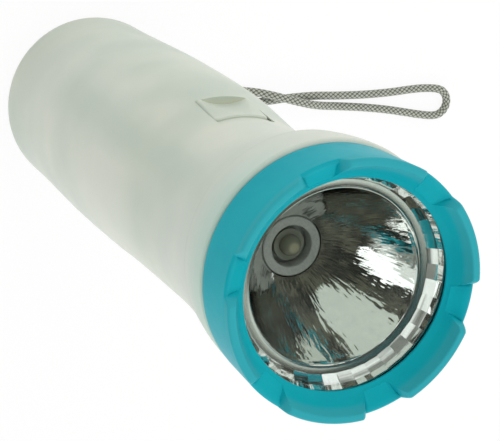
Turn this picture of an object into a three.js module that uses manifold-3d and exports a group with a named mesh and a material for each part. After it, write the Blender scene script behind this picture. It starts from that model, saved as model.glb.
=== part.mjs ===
// LED flashlight, standing on its tail. Millimetres, +Z up, origin at the middle of the tail's base.
// The switch faces -Y and the wrist cord leaves the tail towards -X.
import * as THREE from "three";
import { mergeVertices } from "three/addons/utils/BufferGeometryUtils.js";
import Module from "manifold-3d";

const wasm = await Module();
wasm.setup();

const TURN = 2 * Math.PI;

// Running gap between neighbouring pieces, and how far a cutter runs past what it cuts.
const GAP = 0.3;
const OVERRUN = 2;
// Vertices closer than this are one vertex of a solid.
const MERGE_DISTANCE = 1e-4;

// Barrel
const BARREL_WALL = 2.2;
const FLOOR_THICKNESS = 3;
const TAIL_ROUNDING = 8;
const TAIL_TAPER = 1.15;
const GRIP_SWELL = 1.85;
const GRIP_HEIGHT = 64;
const WAIST_LEAN = 1.6;
const WAIST_SETBACK = 47;
const LEAN_LENGTH = 37;
const FLARE_RISE = 3.4;
const BELL_LENGTH = 14.4;
const BELL_OVERHANG = 0.2;
const BELL_LEAN = -0.6;
const BELL_ROUNDING = 1.2;
const CREASE_STEP = 0.35;
const RIB_THICKNESS = 2;
const RIB_COUNT = 4;

// Screw joint between barrel and bezel
const SPIGOT_WALL = 1.4;
const SPIGOT_LENGTH = 8.5;
const THREAD_PITCH = 2.5;
const THREAD_DEPTH = 1;
const THREAD_ROOT = 1.2;
const THREAD_CREST = 0.6;
const THREAD_SIDE_GAP = 0.45;
const MALE_TURNS = 1.6;
const FEMALE_TURNS = 1;
const UNSCREW_TURNS = 1.5;

// Bezel ring
const BEZEL_OPENING = 25.85;
const BEZEL_WALL = 2.05;
const BEZEL_FLARE = 0.8;
const BEZEL_LIP_THICKNESS = 0.5;
const RIM_HEIGHT = 5.7;
const RIM_THICKNESS = 1.8;
const RIM_BOW = 0.7;
const RIM_STEPS = 4;
const NOTCH_COUNT = 6;
const NOTCH_WIDTH = 9.4;
const NOTCH_SPREAD = 3.2;
const NOTCH_DEPTH = 2.6;
const NOTCH_FOOT = 0.6;
const NOTCH_AZIMUTH = -10.5;
const BEZEL_EDGE = 0.6;

// Lens, seals and reflector
const LENS_THICKNESS = 1.3;
const LENS_SEAT = 0.75;
const LENS_SEAL_WIDTH = 0.9;
const NECK_SEAL_RADIUS = 0.7;
const FLANGE_THICKNESS = 1.1;
const BAND_INSET = 0.25;
const BAND_RIM = 0.2;
const BAND_WIDTH = 2.4;
const BAND_HEIGHT = 3.6;
const BAND_KNEE_WIDTH = 2;
const BAND_KNEE_HEIGHT = 2.2;
const BEAD_RISE = 0.35;
const BEAD_WIDTH = 1.6;
const BOWL_DEPTH = 24.4;
const THROAT_RADIUS = 7.9;
const THROAT_LENGTH = 3.7;
const REFLECTOR_WALL = 1.2;
const REFLECTOR_NECK_WALL = 2.1;

// LED, its board and holder
const COLLAR_BORE = 5.27;
const COLLAR_HEIGHT = 3.7;
const LED_BODY_RADIUS = 4;
const LED_BODY_HEIGHT = 2;
const LED_DOME_RADIUS = 2.7;
const LED_DOME_STEP = 0.5;
const BOARD_THICKNESS = 1.6;
const HOLDER_WALL = 2.9;
const HOLDER_LEDGE = 1.8;
const HOLDER_DEPTH = 4.4;
const HOLDER_FLOOR = 2;
const HOLDER_RIM = 3.6;
const RESISTOR_RADIUS = 1.1;
const RESISTOR_LENGTH = 6;
const RESISTOR_OFFSET = 5.2;
const STUD_RADIUS = 3;
const STUD_LENGTH = 3.6;
const CONTACT_DISC_RADIUS = 6;
const CONTACT_DISC_THICKNESS = 0.8;
const RING_CONTACT_THICKNESS = 0.8;
const RING_CONTACT_HEIGHT = 6;

// Cells, of the common large round size
const CELL_RADIUS = 17.1;
const CELL_HEIGHT = 61.5;
const CELL_CAP_RADIUS = 4.75;
const CELL_CAP_HEIGHT = 1.6;
const CELL_CAP_FLANGE = 12;
const CELL_CAN_WALL = 0.4;
const CELL_SEAL_THICKNESS = 3.6;

// Spring and contact strips
const SPRING_LENGTH = 15.85;
const SPRING_WIRE = 0.6;
const SPRING_FOOT_RADIUS = 8;
const SPRING_TOP_RADIUS = 6;
const SPRING_TURNS = 6;
const PLATE_RADIUS = 11;
const PLATE_THICKNESS = 0.8;
const STRIP_WIDTH = 6;
const STRIP_THICKNESS = 0.5;
const STRIP_JOG_LENGTH = 12;
const STRIP_JOG_MARGIN = 1;

// Slide switch
const SWITCH_ROOM = 5;
const SWITCH_SETBACK = 20.5;
const WINDOW_WIDTH = 15;
const WINDOW_CORNER = 1.4;
const KNOB_CLEARANCE = 0.35;
const KNOB_LENGTH = 14.6;
const KNOB_PROUD = 0.5;
const SCOOP_WALL = 1.7;
const SCOOP_DEPTH = 2.5;
const SCOOP_RADIUS = 16;
const SLIDE_TRAVEL = 4.2;
const SLIDER_LAP = 1.4;
const SLIDER_THICKNESS = 0.9;
const SLIDER_OVERLAP = 4.5;
const RUNNER_WIDTH = 8;
const RUNNER_THICKNESS = 0.4;
const FRAME_RAIL = 3.4;
const FRAME_SIDE = 1.8;
const FRAME_DEPTH = 2.1;
const FRAME_BAR = 3;

// Strap and its bar
const CORD_RADIUS = 1.35;
const BAR_RADIUS = 1.15;
const BAR_SEAT = 1.4;
const BAR_INSET = 3.1;
const POCKET_WIDTH = 12;
const POCKET_HEIGHT = 9.6;
const POCKET_DEPTH = 7.4;
const BOSS_WALL = 1.5;
const HITCH_REACH = 2.7;

// How finely round shapes are cut
const AROUND = 44;
const SMALL_AROUND = 28;
const FINE_AROUND = 16;
const FACET_COUNT = 40;
const CORNER_STEPS = 3;
const TAIL_STEPS = 4;
const GRIP_STEPS = 3;
const WAIST_STEPS = 6;
const FLARE_STEPS = 5;
const BELL_STEPS = 3;
const BORE_STEPS = 4;
const BOWL_STEPS = 7;
const DOME_STEPS = 5;
const CORD_SIDES = 8;
const CORD_STEPS = 64;
const HITCH_STEPS = 18;
const HITCH_BEND_STEPS = 8;
const COIL_SIDES = 5;
const COIL_STEPS = 8;

// How sharply the profile's blends bend
const WAIST_CURVE = 1.5;
const FLARE_CURVE = 1.8;
const LEAN_CURVE = 1.6;

// Materials
const finish = (color, roughness, metalness) =>
  new THREE.MeshStandardMaterial({ color, roughness, metalness });
const milkyPlastic = finish(0xc6cfc2, 0.45, 0);
const turquoisePlastic = finish(0x26a0b2, 0.35, 0);
const greyPlastic = finish(0x6b7069, 0.6, 0);
const whitePlastic = finish(0xe4e4dc, 0.5, 0);
const clearPlastic = finish(0xf2f6f6, 0.08, 0);
const chromed = finish(0xd4d8d8, 0.1, 1);
const brass = finish(0xc9a14a, 0.35, 1);
const tinnedSteel = finish(0xb9bcbd, 0.35, 1);
const aluminium = finish(0xc8cacb, 0.4, 1);
const rubber = finish(0x2a2c2c, 0.85, 0);
const phosphor = finish(0xb9ae5c, 0.3, 0);
const resistorBody = finish(0xb58e64, 0.6, 0);
const cellJacket = finish(0x3a3f46, 0.4, 0.2);
const cellPaste = finish(0x26241f, 0.9, 0);
const greyCord = finish(0x8b8d84, 0.9, 0);

const torch = new THREE.Group();

function place(name, geometry, material) {
  const mesh = new THREE.Mesh(geometry, material);
  mesh.name = name;
  torch.add(mesh);
  return mesh;
}

// Solids for cutting and joining

function toSolid(geometry) {
  const bare = geometry.clone();
  bare.deleteAttribute("normal");
  bare.deleteAttribute("uv");
  const merged = mergeVertices(bare, MERGE_DISTANCE);
  const vertProperties = new Float32Array(merged.attributes.position.array);
  const triVerts = new Uint32Array(merged.index.array);
  return new wasm.Manifold(new wasm.Mesh({ numProp: 3, vertProperties, triVerts }));
}

function toGeometry(solid) {
  const mesh = solid.getMesh();
  const geometry = new THREE.BufferGeometry();
  geometry.setAttribute("position", new THREE.BufferAttribute(mesh.vertProperties, 3));
  geometry.setIndex(new THREE.BufferAttribute(mesh.triVerts, 1));
  geometry.computeVertexNormals();
  return geometry;
}

const mix = (a, b, t) => a + (b - a) * t;
const ease = (t) => (1 - Math.cos(Math.PI * t)) / 2;
const radians = (degrees) => (degrees * Math.PI) / 180;

// A solid turned about Z from a closed outline of [radius, height] points.
function turned(outline, facets = AROUND) {
  const points = outline.map(([radius, height]) => new THREE.Vector2(radius, height));
  if (outline[0][0] > 0) points.push(points[0].clone());
  const geometry = new THREE.LatheGeometry(points, facets);
  return geometry.rotateX(Math.PI / 2);
}

// A plain ring: inner and outer radius, lowest and highest point.
function ring(inner, outer, low, high, facets = AROUND) {
  return turned(
    [
      [inner, low],
      [outer, low],
      [outer, high],
      [inner, high],
    ],
    facets,
  );
}

function disc(radius, low, high, facets = SMALL_AROUND) {
  return turned(
    [
      [0, low],
      [radius, low],
      [radius, high],
      [0, high],
    ],
    facets,
  );
}

// A box given by its lowest and highest corners.
function block(low, high) {
  const size = high.map((value, axis) => value - low[axis]);
  const geometry = new THREE.BoxGeometry(...size);
  const middle = high.map((value, axis) => (value + low[axis]) / 2);
  return geometry.translate(...middle);
}

// A stack of circles { height, radius, lean }, closed at both ends; lean shifts a circle along +Y.
function loft(rings, facets = AROUND) {
  const positions = [];
  const index = [];
  for (const { height, radius, lean } of rings) {
    for (let i = 0; i < facets; i += 1) {
      const angle = (i / facets) * TURN;
      positions.push(radius * Math.cos(angle), radius * Math.sin(angle) + lean, height);
    }
  }
  for (let ring = 0; ring < rings.length - 1; ring += 1) {
    for (let i = 0; i < facets; i += 1) {
      const next = (i + 1) % facets;
      const a = ring * facets + i;
      const b = ring * facets + next;
      index.push(a, b, b + facets, a, b + facets, a + facets);
    }
  }
  const last = (rings.length - 1) * facets;
  for (let i = 1; i < facets - 1; i += 1) {
    index.push(0, i + 1, i);
    index.push(last, last + i, last + i + 1);
  }
  const geometry = new THREE.BufferGeometry();
  geometry.setAttribute("position", new THREE.Float32BufferAttribute(positions, 3));
  geometry.setIndex(index);
  return geometry;
}

// A shape's x and y become the part's y and z, and its extrusion runs along X.
const ALONG_X = new THREE.Matrix4().makeBasis(
  new THREE.Vector3(0, 1, 0),
  new THREE.Vector3(0, 0, 1),
  new THREE.Vector3(1, 0, 0),
);

// A strip of sheet metal: a line of [y, z] points given a thickness and a width along X.
function strip(line, thickness, width) {
  const side = (sign) =>
    line.map((point, i) => {
      const before = line[Math.max(i - 1, 0)];
      const after = line[Math.min(i + 1, line.length - 1)];
      const along = new THREE.Vector2(after[0] - before[0], after[1] - before[1]).normalize();
      const offset = (sign * thickness) / 2;
      return new THREE.Vector2(point[0] - along.y * offset, point[1] + along.x * offset);
    });
  const shape = new THREE.Shape([...side(1), ...side(-1).reverse()]);
  const geometry = new THREE.ExtrudeGeometry(shape, { depth: width, bevelEnabled: false });
  return geometry.applyMatrix4(ALONG_X).translate(-width / 2, 0, 0);
}

function tube(curve, radius, sides, steps) {
  const section = new THREE.Shape();
  for (let i = 0; i < sides; i += 1) {
    const angle = (i / sides) * TURN;
    const point = [radius * Math.cos(angle), radius * Math.sin(angle)];
    if (i === 0) section.moveTo(...point);
    else section.lineTo(...point);
  }
  return new THREE.ExtrudeGeometry(section, { steps, extrudePath: curve, bevelEnabled: false });
}

// Stack of pieces along the axis, from the barrel's floor up to the bezel's lip

const PLATE_BOTTOM = FLOOR_THICKNESS + GAP;
const PLATE_TOP = PLATE_BOTTOM + PLATE_THICKNESS;
const REAR_CELL_BASE = PLATE_TOP + GAP + SPRING_LENGTH + GAP;
const FRONT_CELL_BASE = REAR_CELL_BASE + CELL_HEIGHT + GAP;
const CELL_CAN_HEIGHT = CELL_HEIGHT - CELL_CAP_HEIGHT - CELL_CAN_WALL;
const CONTACT_BOTTOM = FRONT_CELL_BASE + CELL_HEIGHT + GAP;
const CONTACT_TOP = CONTACT_BOTTOM + CONTACT_DISC_THICKNESS;
const HOLDER_BOTTOM = CONTACT_TOP + GAP;
const LEDGE_TOP = HOLDER_BOTTOM + HOLDER_FLOOR + HOLDER_DEPTH;
const BOARD_BOTTOM = LEDGE_TOP + GAP;
const BOARD_TOP = BOARD_BOTTOM + BOARD_THICKNESS;
const THROAT_BOTTOM = BOARD_TOP + GAP;
const THROAT_TOP = THROAT_BOTTOM + THROAT_LENGTH;
const BOWL_TOP = THROAT_TOP + BOWL_DEPTH;
const BAND_FOOT = BOWL_TOP + BEAD_RISE;
const FLANGE_TOP = BAND_FOOT + BAND_HEIGHT;
const FLANGE_BOTTOM = FLANGE_TOP - FLANGE_THICKNESS;
const LENS_BOTTOM = FLANGE_TOP + GAP;
const LENS_TOP = LENS_BOTTOM + LENS_THICKNESS;
const LIP_UNDERSIDE = LENS_TOP + GAP;
const LIP_TOP = LIP_UNDERSIDE + BEZEL_LIP_THICKNESS;
const SPIGOT_TOP = FLANGE_BOTTOM - GAP;
const BARREL_LENGTH = SPIGOT_TOP - SPIGOT_LENGTH;

// Radii, from the bezel's opening outwards and from the cells outwards

const BAND_RADIUS = BEZEL_OPENING - BAND_INSET;
const BAND_FOOT_RADIUS = BAND_RADIUS - BAND_WIDTH;
const BOWL_RADIUS = BAND_FOOT_RADIUS - BEAD_WIDTH;
const REFLECTOR_NECK = THROAT_RADIUS + REFLECTOR_NECK_WALL;
const BOARD_RADIUS = REFLECTOR_NECK;
const HOLDER_RADIUS = BOARD_RADIUS + GAP + HOLDER_WALL;
const LENS_RADIUS = BEZEL_OPENING + LENS_SEAT;
const SPIGOT_BORE = BAND_RADIUS + BAND_RIM + GAP;
const SPIGOT_RADIUS = SPIGOT_BORE + SPIGOT_WALL;
const FEMALE_WALL = SPIGOT_RADIUS + THREAD_DEPTH + THREAD_SIDE_GAP;
const BEZEL_BACK_RADIUS = FEMALE_WALL + BEZEL_WALL;
const BEZEL_FRONT_RADIUS = BEZEL_BACK_RADIUS + BEZEL_FLARE;
const BELL_RADIUS = BEZEL_BACK_RADIUS + BELL_OVERHANG;
const WAIST_RADIUS = CELL_RADIUS + SWITCH_ROOM + WAIST_LEAN + BARREL_WALL;
const GRIP_RADIUS = WAIST_RADIUS + GRIP_SWELL;
const TAIL_RADIUS = GRIP_RADIUS - TAIL_TAPER;
const CREASE_RADIUS = WAIST_RADIUS + FLARE_RISE;

const WAIST_HEIGHT = BARREL_LENGTH - WAIST_SETBACK;
const CREASE_HEIGHT = BARREL_LENGTH - BELL_LENGTH;
const SWITCH_BACK = WAIST_HEIGHT - SWITCH_SETBACK;

// Barrel profile: its outer radius, and how far its middle leans away from the switch, at a height

function radiusAt(height) {
  if (height < TAIL_ROUNDING) {
    const drop = TAIL_ROUNDING - height;
    return TAIL_RADIUS - TAIL_ROUNDING + Math.sqrt(TAIL_ROUNDING ** 2 - drop ** 2);
  }
  if (height < GRIP_HEIGHT) {
    const t = (height - TAIL_ROUNDING) / (GRIP_HEIGHT - TAIL_ROUNDING);
    return mix(TAIL_RADIUS, GRIP_RADIUS, ease(t));
  }
  if (height < WAIST_HEIGHT) {
    const t = (height - GRIP_HEIGHT) / (WAIST_HEIGHT - GRIP_HEIGHT);
    return mix(GRIP_RADIUS, WAIST_RADIUS, ease(t ** WAIST_CURVE));
  }
  if (height < CREASE_HEIGHT) {
    const t = (height - WAIST_HEIGHT) / (CREASE_HEIGHT - WAIST_HEIGHT);
    return mix(WAIST_RADIUS, CREASE_RADIUS, t ** FLARE_CURVE);
  }
  const t = (height - CREASE_HEIGHT) / (BARREL_LENGTH - CREASE_HEIGHT);
  return mix(CREASE_RADIUS + CREASE_STEP, BELL_RADIUS, Math.sin((Math.min(t, 1) * Math.PI) / 2));
}

function leanAt(height) {
  if (height < WAIST_HEIGHT) {
    const t = 1 - (WAIST_HEIGHT - height) / LEAN_LENGTH;
    return WAIST_LEAN * ease(Math.max(t, 0));
  }
  const t = (height - WAIST_HEIGHT) / (CREASE_HEIGHT - WAIST_HEIGHT);
  return mix(WAIST_LEAN, BELL_LEAN, Math.min(t, 1) ** LEAN_CURVE);
}

// The bore keeps the wall's thickness up to the waist, then eases out to the spigot's bore.
function boreAt(height) {
  if (height < WAIST_HEIGHT) {
    return { height, radius: radiusAt(height) - BARREL_WALL, lean: leanAt(height) };
  }
  const t = (height - WAIST_HEIGHT) / (CREASE_HEIGHT - WAIST_HEIGHT);
  const radius = mix(WAIST_RADIUS - BARREL_WALL, SPIGOT_BORE, ease(Math.min(t, 1)));
  return { height, radius, lean: WAIST_LEAN * Math.max(1 - t, 0) };
}

// Where a circle of the bore meets the switch side.
const switchSide = ({ radius, lean }) => lean - radius;

const heightsBetween = (low, high, count) =>
  Array.from({ length: count + 1 }, (_, i) => mix(low, high, i / count));

const outerHeights = [
  ...heightsBetween(0, TAIL_ROUNDING, TAIL_STEPS),
  ...heightsBetween(TAIL_ROUNDING, GRIP_HEIGHT, GRIP_STEPS).slice(1),
  ...heightsBetween(GRIP_HEIGHT, WAIST_HEIGHT, WAIST_STEPS).slice(1),
  ...heightsBetween(WAIST_HEIGHT, CREASE_HEIGHT - CREASE_STEP, FLARE_STEPS).slice(1),
  ...heightsBetween(CREASE_HEIGHT, BARREL_LENGTH - BELL_ROUNDING, BELL_STEPS),
];

function outerRings(grow = 0) {
  const rings = outerHeights.map((height) => ({
    height,
    radius: radiusAt(height) + grow,
    lean: leanAt(height),
  }));
  const rim = { height: BARREL_LENGTH, radius: BELL_RADIUS - BELL_ROUNDING + grow };
  return [...rings, { ...rim, lean: BELL_LEAN }];
}

const boreHeights = [
  ...heightsBetween(TAIL_ROUNDING, GRIP_HEIGHT, GRIP_STEPS),
  ...heightsBetween(GRIP_HEIGHT, WAIST_HEIGHT, WAIST_STEPS).slice(1),
  ...heightsBetween(WAIST_HEIGHT, CREASE_HEIGHT, BORE_STEPS).slice(1),
];

function boreRings(shrink, low, high) {
  const rings = boreHeights.map((height) => boreAt(height));
  rings.unshift({ height: low, radius: TAIL_RADIUS - TAIL_ROUNDING, lean: 0 });
  rings.push({ height: high, radius: SPIGOT_BORE, lean: 0 });
  return rings.map((ring) => ({ ...ring, radius: ring.radius - shrink }));
}

// Thread: a helical ridge of trapezoid section, its foot sunk a little into the wall that carries it.
function threadRidge(footRadius, outward, start, turns) {
  const steps = Math.round(AROUND * turns);
  const sunk = footRadius - outward * GAP;
  const crest = footRadius + outward * THREAD_DEPTH;
  const corners = [
    [sunk, -THREAD_ROOT / 2],
    [crest, -THREAD_CREST / 2],
    [crest, THREAD_CREST / 2],
    [sunk, THREAD_ROOT / 2],
  ];
  if (outward < 0) corners.reverse();
  const positions = [];
  const index = [];
  for (let i = 0; i <= steps; i += 1) {
    const angle = (i / AROUND) * TURN;
    const rise = start + (i / AROUND) * THREAD_PITCH;
    for (const [radius, offset] of corners) {
      positions.push(radius * Math.cos(angle), radius * Math.sin(angle), rise + offset);
    }
  }
  for (let i = 0; i < steps; i += 1) {
    for (let side = 0; side < 4; side += 1) {
      const a = i * 4 + side;
      const b = i * 4 + ((side + 1) % 4);
      index.push(a, a + 4, b, b, a + 4, b + 4);
    }
  }
  const end = steps * 4;
  index.push(0, 1, 2, 0, 2, 3);
  index.push(end, end + 2, end + 1, end, end + 3, end + 2);
  const geometry = new THREE.BufferGeometry();
  geometry.setAttribute("position", new THREE.Float32BufferAttribute(positions, 3));
  geometry.setIndex(index);
  return geometry;
}

const SEAL_POCKET_TOP = BARREL_LENGTH + GAP + 2 * NECK_SEAL_RADIUS + GAP;
const MALE_START = SEAL_POCKET_TOP + GAP + THREAD_ROOT;
const FEMALE_START = MALE_START + THREAD_PITCH / 2;

// Strap pocket and bar, on the -X side of the tail

const BAR_HEIGHT = POCKET_HEIGHT / 2;
const BAR_X = -(TAIL_RADIUS - BAR_INSET);
const HITCH_BEND = BAR_RADIUS + GAP + CORD_RADIUS;
const POCKET_BACK = -(TAIL_RADIUS - POCKET_DEPTH);

function barBetween(halfLength, radius) {
  const pin = new THREE.CylinderGeometry(radius, radius, 2 * halfLength, FINE_AROUND);
  return pin.translate(BAR_X, 0, BAR_HEIGHT);
}

function roundedWindow(width, length, corner, depth) {
  const w = width / 2 - corner;
  const l = length / 2 - corner;
  const shape = new THREE.Shape();
  shape.absarc(w, l, corner, 0, TURN / 4);
  shape.absarc(-w, l, corner, TURN / 4, TURN / 2);
  shape.absarc(-w, -l, corner, TURN / 2, (3 * TURN) / 4);
  shape.absarc(w, -l, corner, (3 * TURN) / 4, TURN);
  const options = { depth, bevelEnabled: false, curveSegments: CORNER_STEPS };
  // The shape's plane becomes XZ, and the depth runs along -Y.
  return new THREE.ExtrudeGeometry(shape, options).rotateX(Math.PI / 2);
}

const WINDOW_LENGTH = KNOB_LENGTH + SLIDE_TRAVEL + 2 * KNOB_CLEARANCE;
const WINDOW_MIDDLE = SWITCH_BACK + WINDOW_LENGTH / 2;

function barrelShell() {
  let shell = toSolid(loft(outerRings()));
  shell = shell.add(toSolid(disc(SPIGOT_RADIUS, CREASE_HEIGHT, SPIGOT_TOP, AROUND)));
  shell = shell.add(toSolid(threadRidge(SPIGOT_RADIUS, 1, MALE_START, MALE_TURNS)));
  shell = shell.subtract(toSolid(loft(boreRings(0, FLOOR_THICKNESS, SPIGOT_TOP + OVERRUN))));

  const inside = toSolid(loft(outerRings(-BARREL_WALL / 2)));
  const ribTop = FRONT_CELL_BASE + CELL_HEIGHT / 2;
  const ribFoot = CELL_RADIUS + GAP;
  for (let i = 0; i < RIB_COUNT; i += 1) {
    const rib = block(
      [ribFoot, -RIB_THICKNESS / 2, FLOOR_THICKNESS - GAP],
      [GRIP_RADIUS, RIB_THICKNESS / 2, ribTop],
    );
    rib.rotateZ(((i + 1 / 2) / RIB_COUNT) * TURN);
    shell = shell.add(toSolid(rib).intersect(inside));
  }

  const boss = block(
    [-GRIP_RADIUS - OVERRUN, -POCKET_WIDTH / 2 - OVERRUN, 0],
    [POCKET_BACK + BOSS_WALL, POCKET_WIDTH / 2 + OVERRUN, POCKET_HEIGHT + OVERRUN],
  );
  const tail = toSolid(loft(outerRings()));
  shell = shell.add(toSolid(boss).intersect(tail));
  const pocket = block(
    [-GRIP_RADIUS - OVERRUN, -POCKET_WIDTH / 2, -OVERRUN],
    [POCKET_BACK, POCKET_WIDTH / 2, POCKET_HEIGHT],
  );
  shell = shell.subtract(toSolid(pocket));
  shell = shell.subtract(toSolid(barBetween(POCKET_WIDTH / 2 + BAR_SEAT, BAR_RADIUS + GAP)));

  const window = roundedWindow(WINDOW_WIDTH, WINDOW_LENGTH, WINDOW_CORNER, GRIP_RADIUS);
  window.translate(0, -CELL_RADIUS, WINDOW_MIDDLE);
  return toGeometry(shell.subtract(toSolid(window)));
}

// One gap in the rim: its foot is a cone that rises outwards, and its ends lean apart.
function rimNotch(front) {
  const top = front + OVERRUN;
  const edge = front - NOTCH_DEPTH;
  const scoop = turned(
    [
      [BEZEL_OPENING - OVERRUN, LIP_TOP + NOTCH_FOOT],
      [BEZEL_OPENING, LIP_TOP + NOTCH_FOOT],
      [BEZEL_FRONT_RADIUS, edge],
      [BEZEL_FRONT_RADIUS + OVERRUN, edge],
      [BEZEL_FRONT_RADIUS + OVERRUN, top],
      [BEZEL_OPENING - OVERRUN, top],
    ],
  );
  const lean = NOTCH_SPREAD / 2 / NOTCH_DEPTH;
  const halfWidth = (height) => NOTCH_WIDTH / 2 + (height - edge) * lean;
  const section = new THREE.Shape([
    new THREE.Vector2(-halfWidth(LIP_TOP), LIP_TOP),
    new THREE.Vector2(halfWidth(LIP_TOP), LIP_TOP),
    new THREE.Vector2(halfWidth(top), top),
    new THREE.Vector2(-halfWidth(top), top),
  ]);
  const depth = BEZEL_FRONT_RADIUS + 2 * OVERRUN;
  const wedge = new THREE.ExtrudeGeometry(section, { depth, bevelEnabled: false });
  return toSolid(scoop).intersect(toSolid(wedge.applyMatrix4(ALONG_X)));
}

function bezelRing() {
  const back = BARREL_LENGTH + GAP;
  const front = LIP_TOP + RIM_HEIGHT;
  const rimInner = BEZEL_FRONT_RADIUS - RIM_THICKNESS;
  const wallTop = front - BEZEL_EDGE;
  const wall = heightsBetween(wallTop, LIP_TOP, RIM_STEPS).map((height) => {
    const share = (height - LIP_TOP) / (wallTop - LIP_TOP);
    return [mix(BEZEL_OPENING, rimInner, share ** RIM_BOW), height];
  });
  const chamber = SPIGOT_RADIUS + THREAD_SIDE_GAP + GAP;
  const chamberFloor = SPIGOT_TOP + GAP;
  const sealPocket = SPIGOT_RADIUS + GAP + 2 * NECK_SEAL_RADIUS + GAP;
  const body = turned(
    [
      [sealPocket, back],
      [BEZEL_BACK_RADIUS - BEZEL_EDGE, back],
      [BEZEL_BACK_RADIUS, back + BEZEL_EDGE],
      [BEZEL_FRONT_RADIUS, wallTop],
      [BEZEL_FRONT_RADIUS - BEZEL_EDGE, front],
      [rimInner + BEZEL_EDGE, front],
      ...wall,
      [BEZEL_OPENING, LIP_UNDERSIDE],
      [chamber, LIP_UNDERSIDE],
      [chamber, chamberFloor],
      [FEMALE_WALL, chamberFloor - GAP],
      [FEMALE_WALL, SEAL_POCKET_TOP],
      [sealPocket, SEAL_POCKET_TOP],
    ],
  );
  let ring = toSolid(body);
  ring = ring.add(toSolid(threadRidge(FEMALE_WALL, -1, FEMALE_START, FEMALE_TURNS)));
  const notch = rimNotch(front);
  for (let i = 0; i < NOTCH_COUNT; i += 1) {
    const azimuth = NOTCH_AZIMUTH + (i * 360) / NOTCH_COUNT;
    ring = ring.subtract(notch.rotate([0, 0, azimuth]));
  }
  return toGeometry(ring);
}

// The bowl is a paraboloid through the throat's edge and the bead's inner edge.
const BOWL_STRETCH = (BOWL_RADIUS ** 2 - THROAT_RADIUS ** 2) / BOWL_DEPTH;
const bowlRadius = (rise, wall) =>
  Math.sqrt(THROAT_RADIUS ** 2 + BOWL_STRETCH * rise) + wall;

function reflector() {
  const flangeRadius = SPIGOT_RADIUS - GAP;
  const rises = heightsBetween(0, BOWL_DEPTH, BOWL_STEPS);
  const bowl = rises.map((rise) => [bowlRadius(rise, 0), THROAT_TOP + rise]);
  const back = rises
    .slice(1, -1)
    .map((rise) => [bowlRadius(rise, REFLECTOR_WALL), THROAT_TOP + rise - REFLECTOR_WALL / 2]);
  return turned(
    [
      [THROAT_RADIUS, THROAT_BOTTOM],
      [REFLECTOR_NECK, THROAT_BOTTOM],
      [REFLECTOR_NECK, THROAT_TOP],
      ...back,
      [BAND_FOOT_RADIUS + REFLECTOR_WALL / 2, BOWL_TOP - REFLECTOR_WALL],
      [SPIGOT_BORE - GAP, FLANGE_BOTTOM - REFLECTOR_WALL / 2],
      [SPIGOT_BORE - GAP, FLANGE_BOTTOM],
      [flangeRadius, FLANGE_BOTTOM],
      [flangeRadius, FLANGE_TOP],
      [BAND_RADIUS, FLANGE_TOP],
      [BAND_FOOT_RADIUS + BAND_KNEE_WIDTH, BAND_FOOT + BAND_KNEE_HEIGHT],
      [BAND_FOOT_RADIUS, BAND_FOOT],
      [BAND_FOOT_RADIUS - BEAD_WIDTH / 2, BAND_FOOT + BEAD_RISE],
      ...bowl.reverse(),
    ],
    FACET_COUNT,
  );
}

function neckSeal() {
  const middle = SPIGOT_RADIUS + GAP + NECK_SEAL_RADIUS;
  const rubberRing = new THREE.TorusGeometry(middle, NECK_SEAL_RADIUS, COIL_SIDES, AROUND);
  return rubberRing.translate(0, 0, BARREL_LENGTH + GAP + NECK_SEAL_RADIUS);
}

const LED_BASE = BOARD_TOP + GAP;

function ledDome() {
  const base = LED_BASE + LED_BODY_HEIGHT + GAP;
  const points = [[0, base], [LED_DOME_RADIUS, base]];
  for (let i = 0; i < DOME_STEPS; i += 1) {
    const angle = (i / DOME_STEPS) * (TURN / 4);
    const rise = base + LED_DOME_STEP + LED_DOME_RADIUS * Math.sin(angle);
    points.push([LED_DOME_RADIUS * Math.cos(angle), rise]);
  }
  points.push([0, base + LED_DOME_STEP + LED_DOME_RADIUS]);
  return turned(points, SMALL_AROUND);
}

function lampHolder() {
  const inner = BOARD_RADIUS + GAP;
  return turned(
    [
      [STUD_RADIUS + GAP, HOLDER_BOTTOM],
      [HOLDER_RADIUS, HOLDER_BOTTOM],
      [HOLDER_RADIUS, BOARD_TOP + HOLDER_RIM],
      [REFLECTOR_NECK + GAP, BOARD_TOP + HOLDER_RIM],
      [inner, LEDGE_TOP],
      [inner - HOLDER_LEDGE, LEDGE_TOP],
      [inner - HOLDER_LEDGE, HOLDER_BOTTOM + HOLDER_FLOOR],
      [STUD_RADIUS + GAP, HOLDER_BOTTOM + HOLDER_FLOOR],
    ],
    SMALL_AROUND,
  );
}

function centreContact() {
  return turned(
    [
      [0, CONTACT_BOTTOM],
      [CONTACT_DISC_RADIUS, CONTACT_BOTTOM],
      [CONTACT_DISC_RADIUS, CONTACT_TOP],
      [STUD_RADIUS, CONTACT_TOP],
      [STUD_RADIUS, CONTACT_TOP + STUD_LENGTH],
      [0, CONTACT_TOP + STUD_LENGTH],
    ],
    SMALL_AROUND,
  );
}

function ballastResistor() {
  const body = new THREE.CylinderGeometry(
    RESISTOR_RADIUS,
    RESISTOR_RADIUS,
    RESISTOR_LENGTH,
    FINE_AROUND,
  );
  body.rotateZ(Math.PI / 2);
  return body.translate(0, RESISTOR_OFFSET, BOARD_BOTTOM - GAP - RESISTOR_RADIUS);
}

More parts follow.
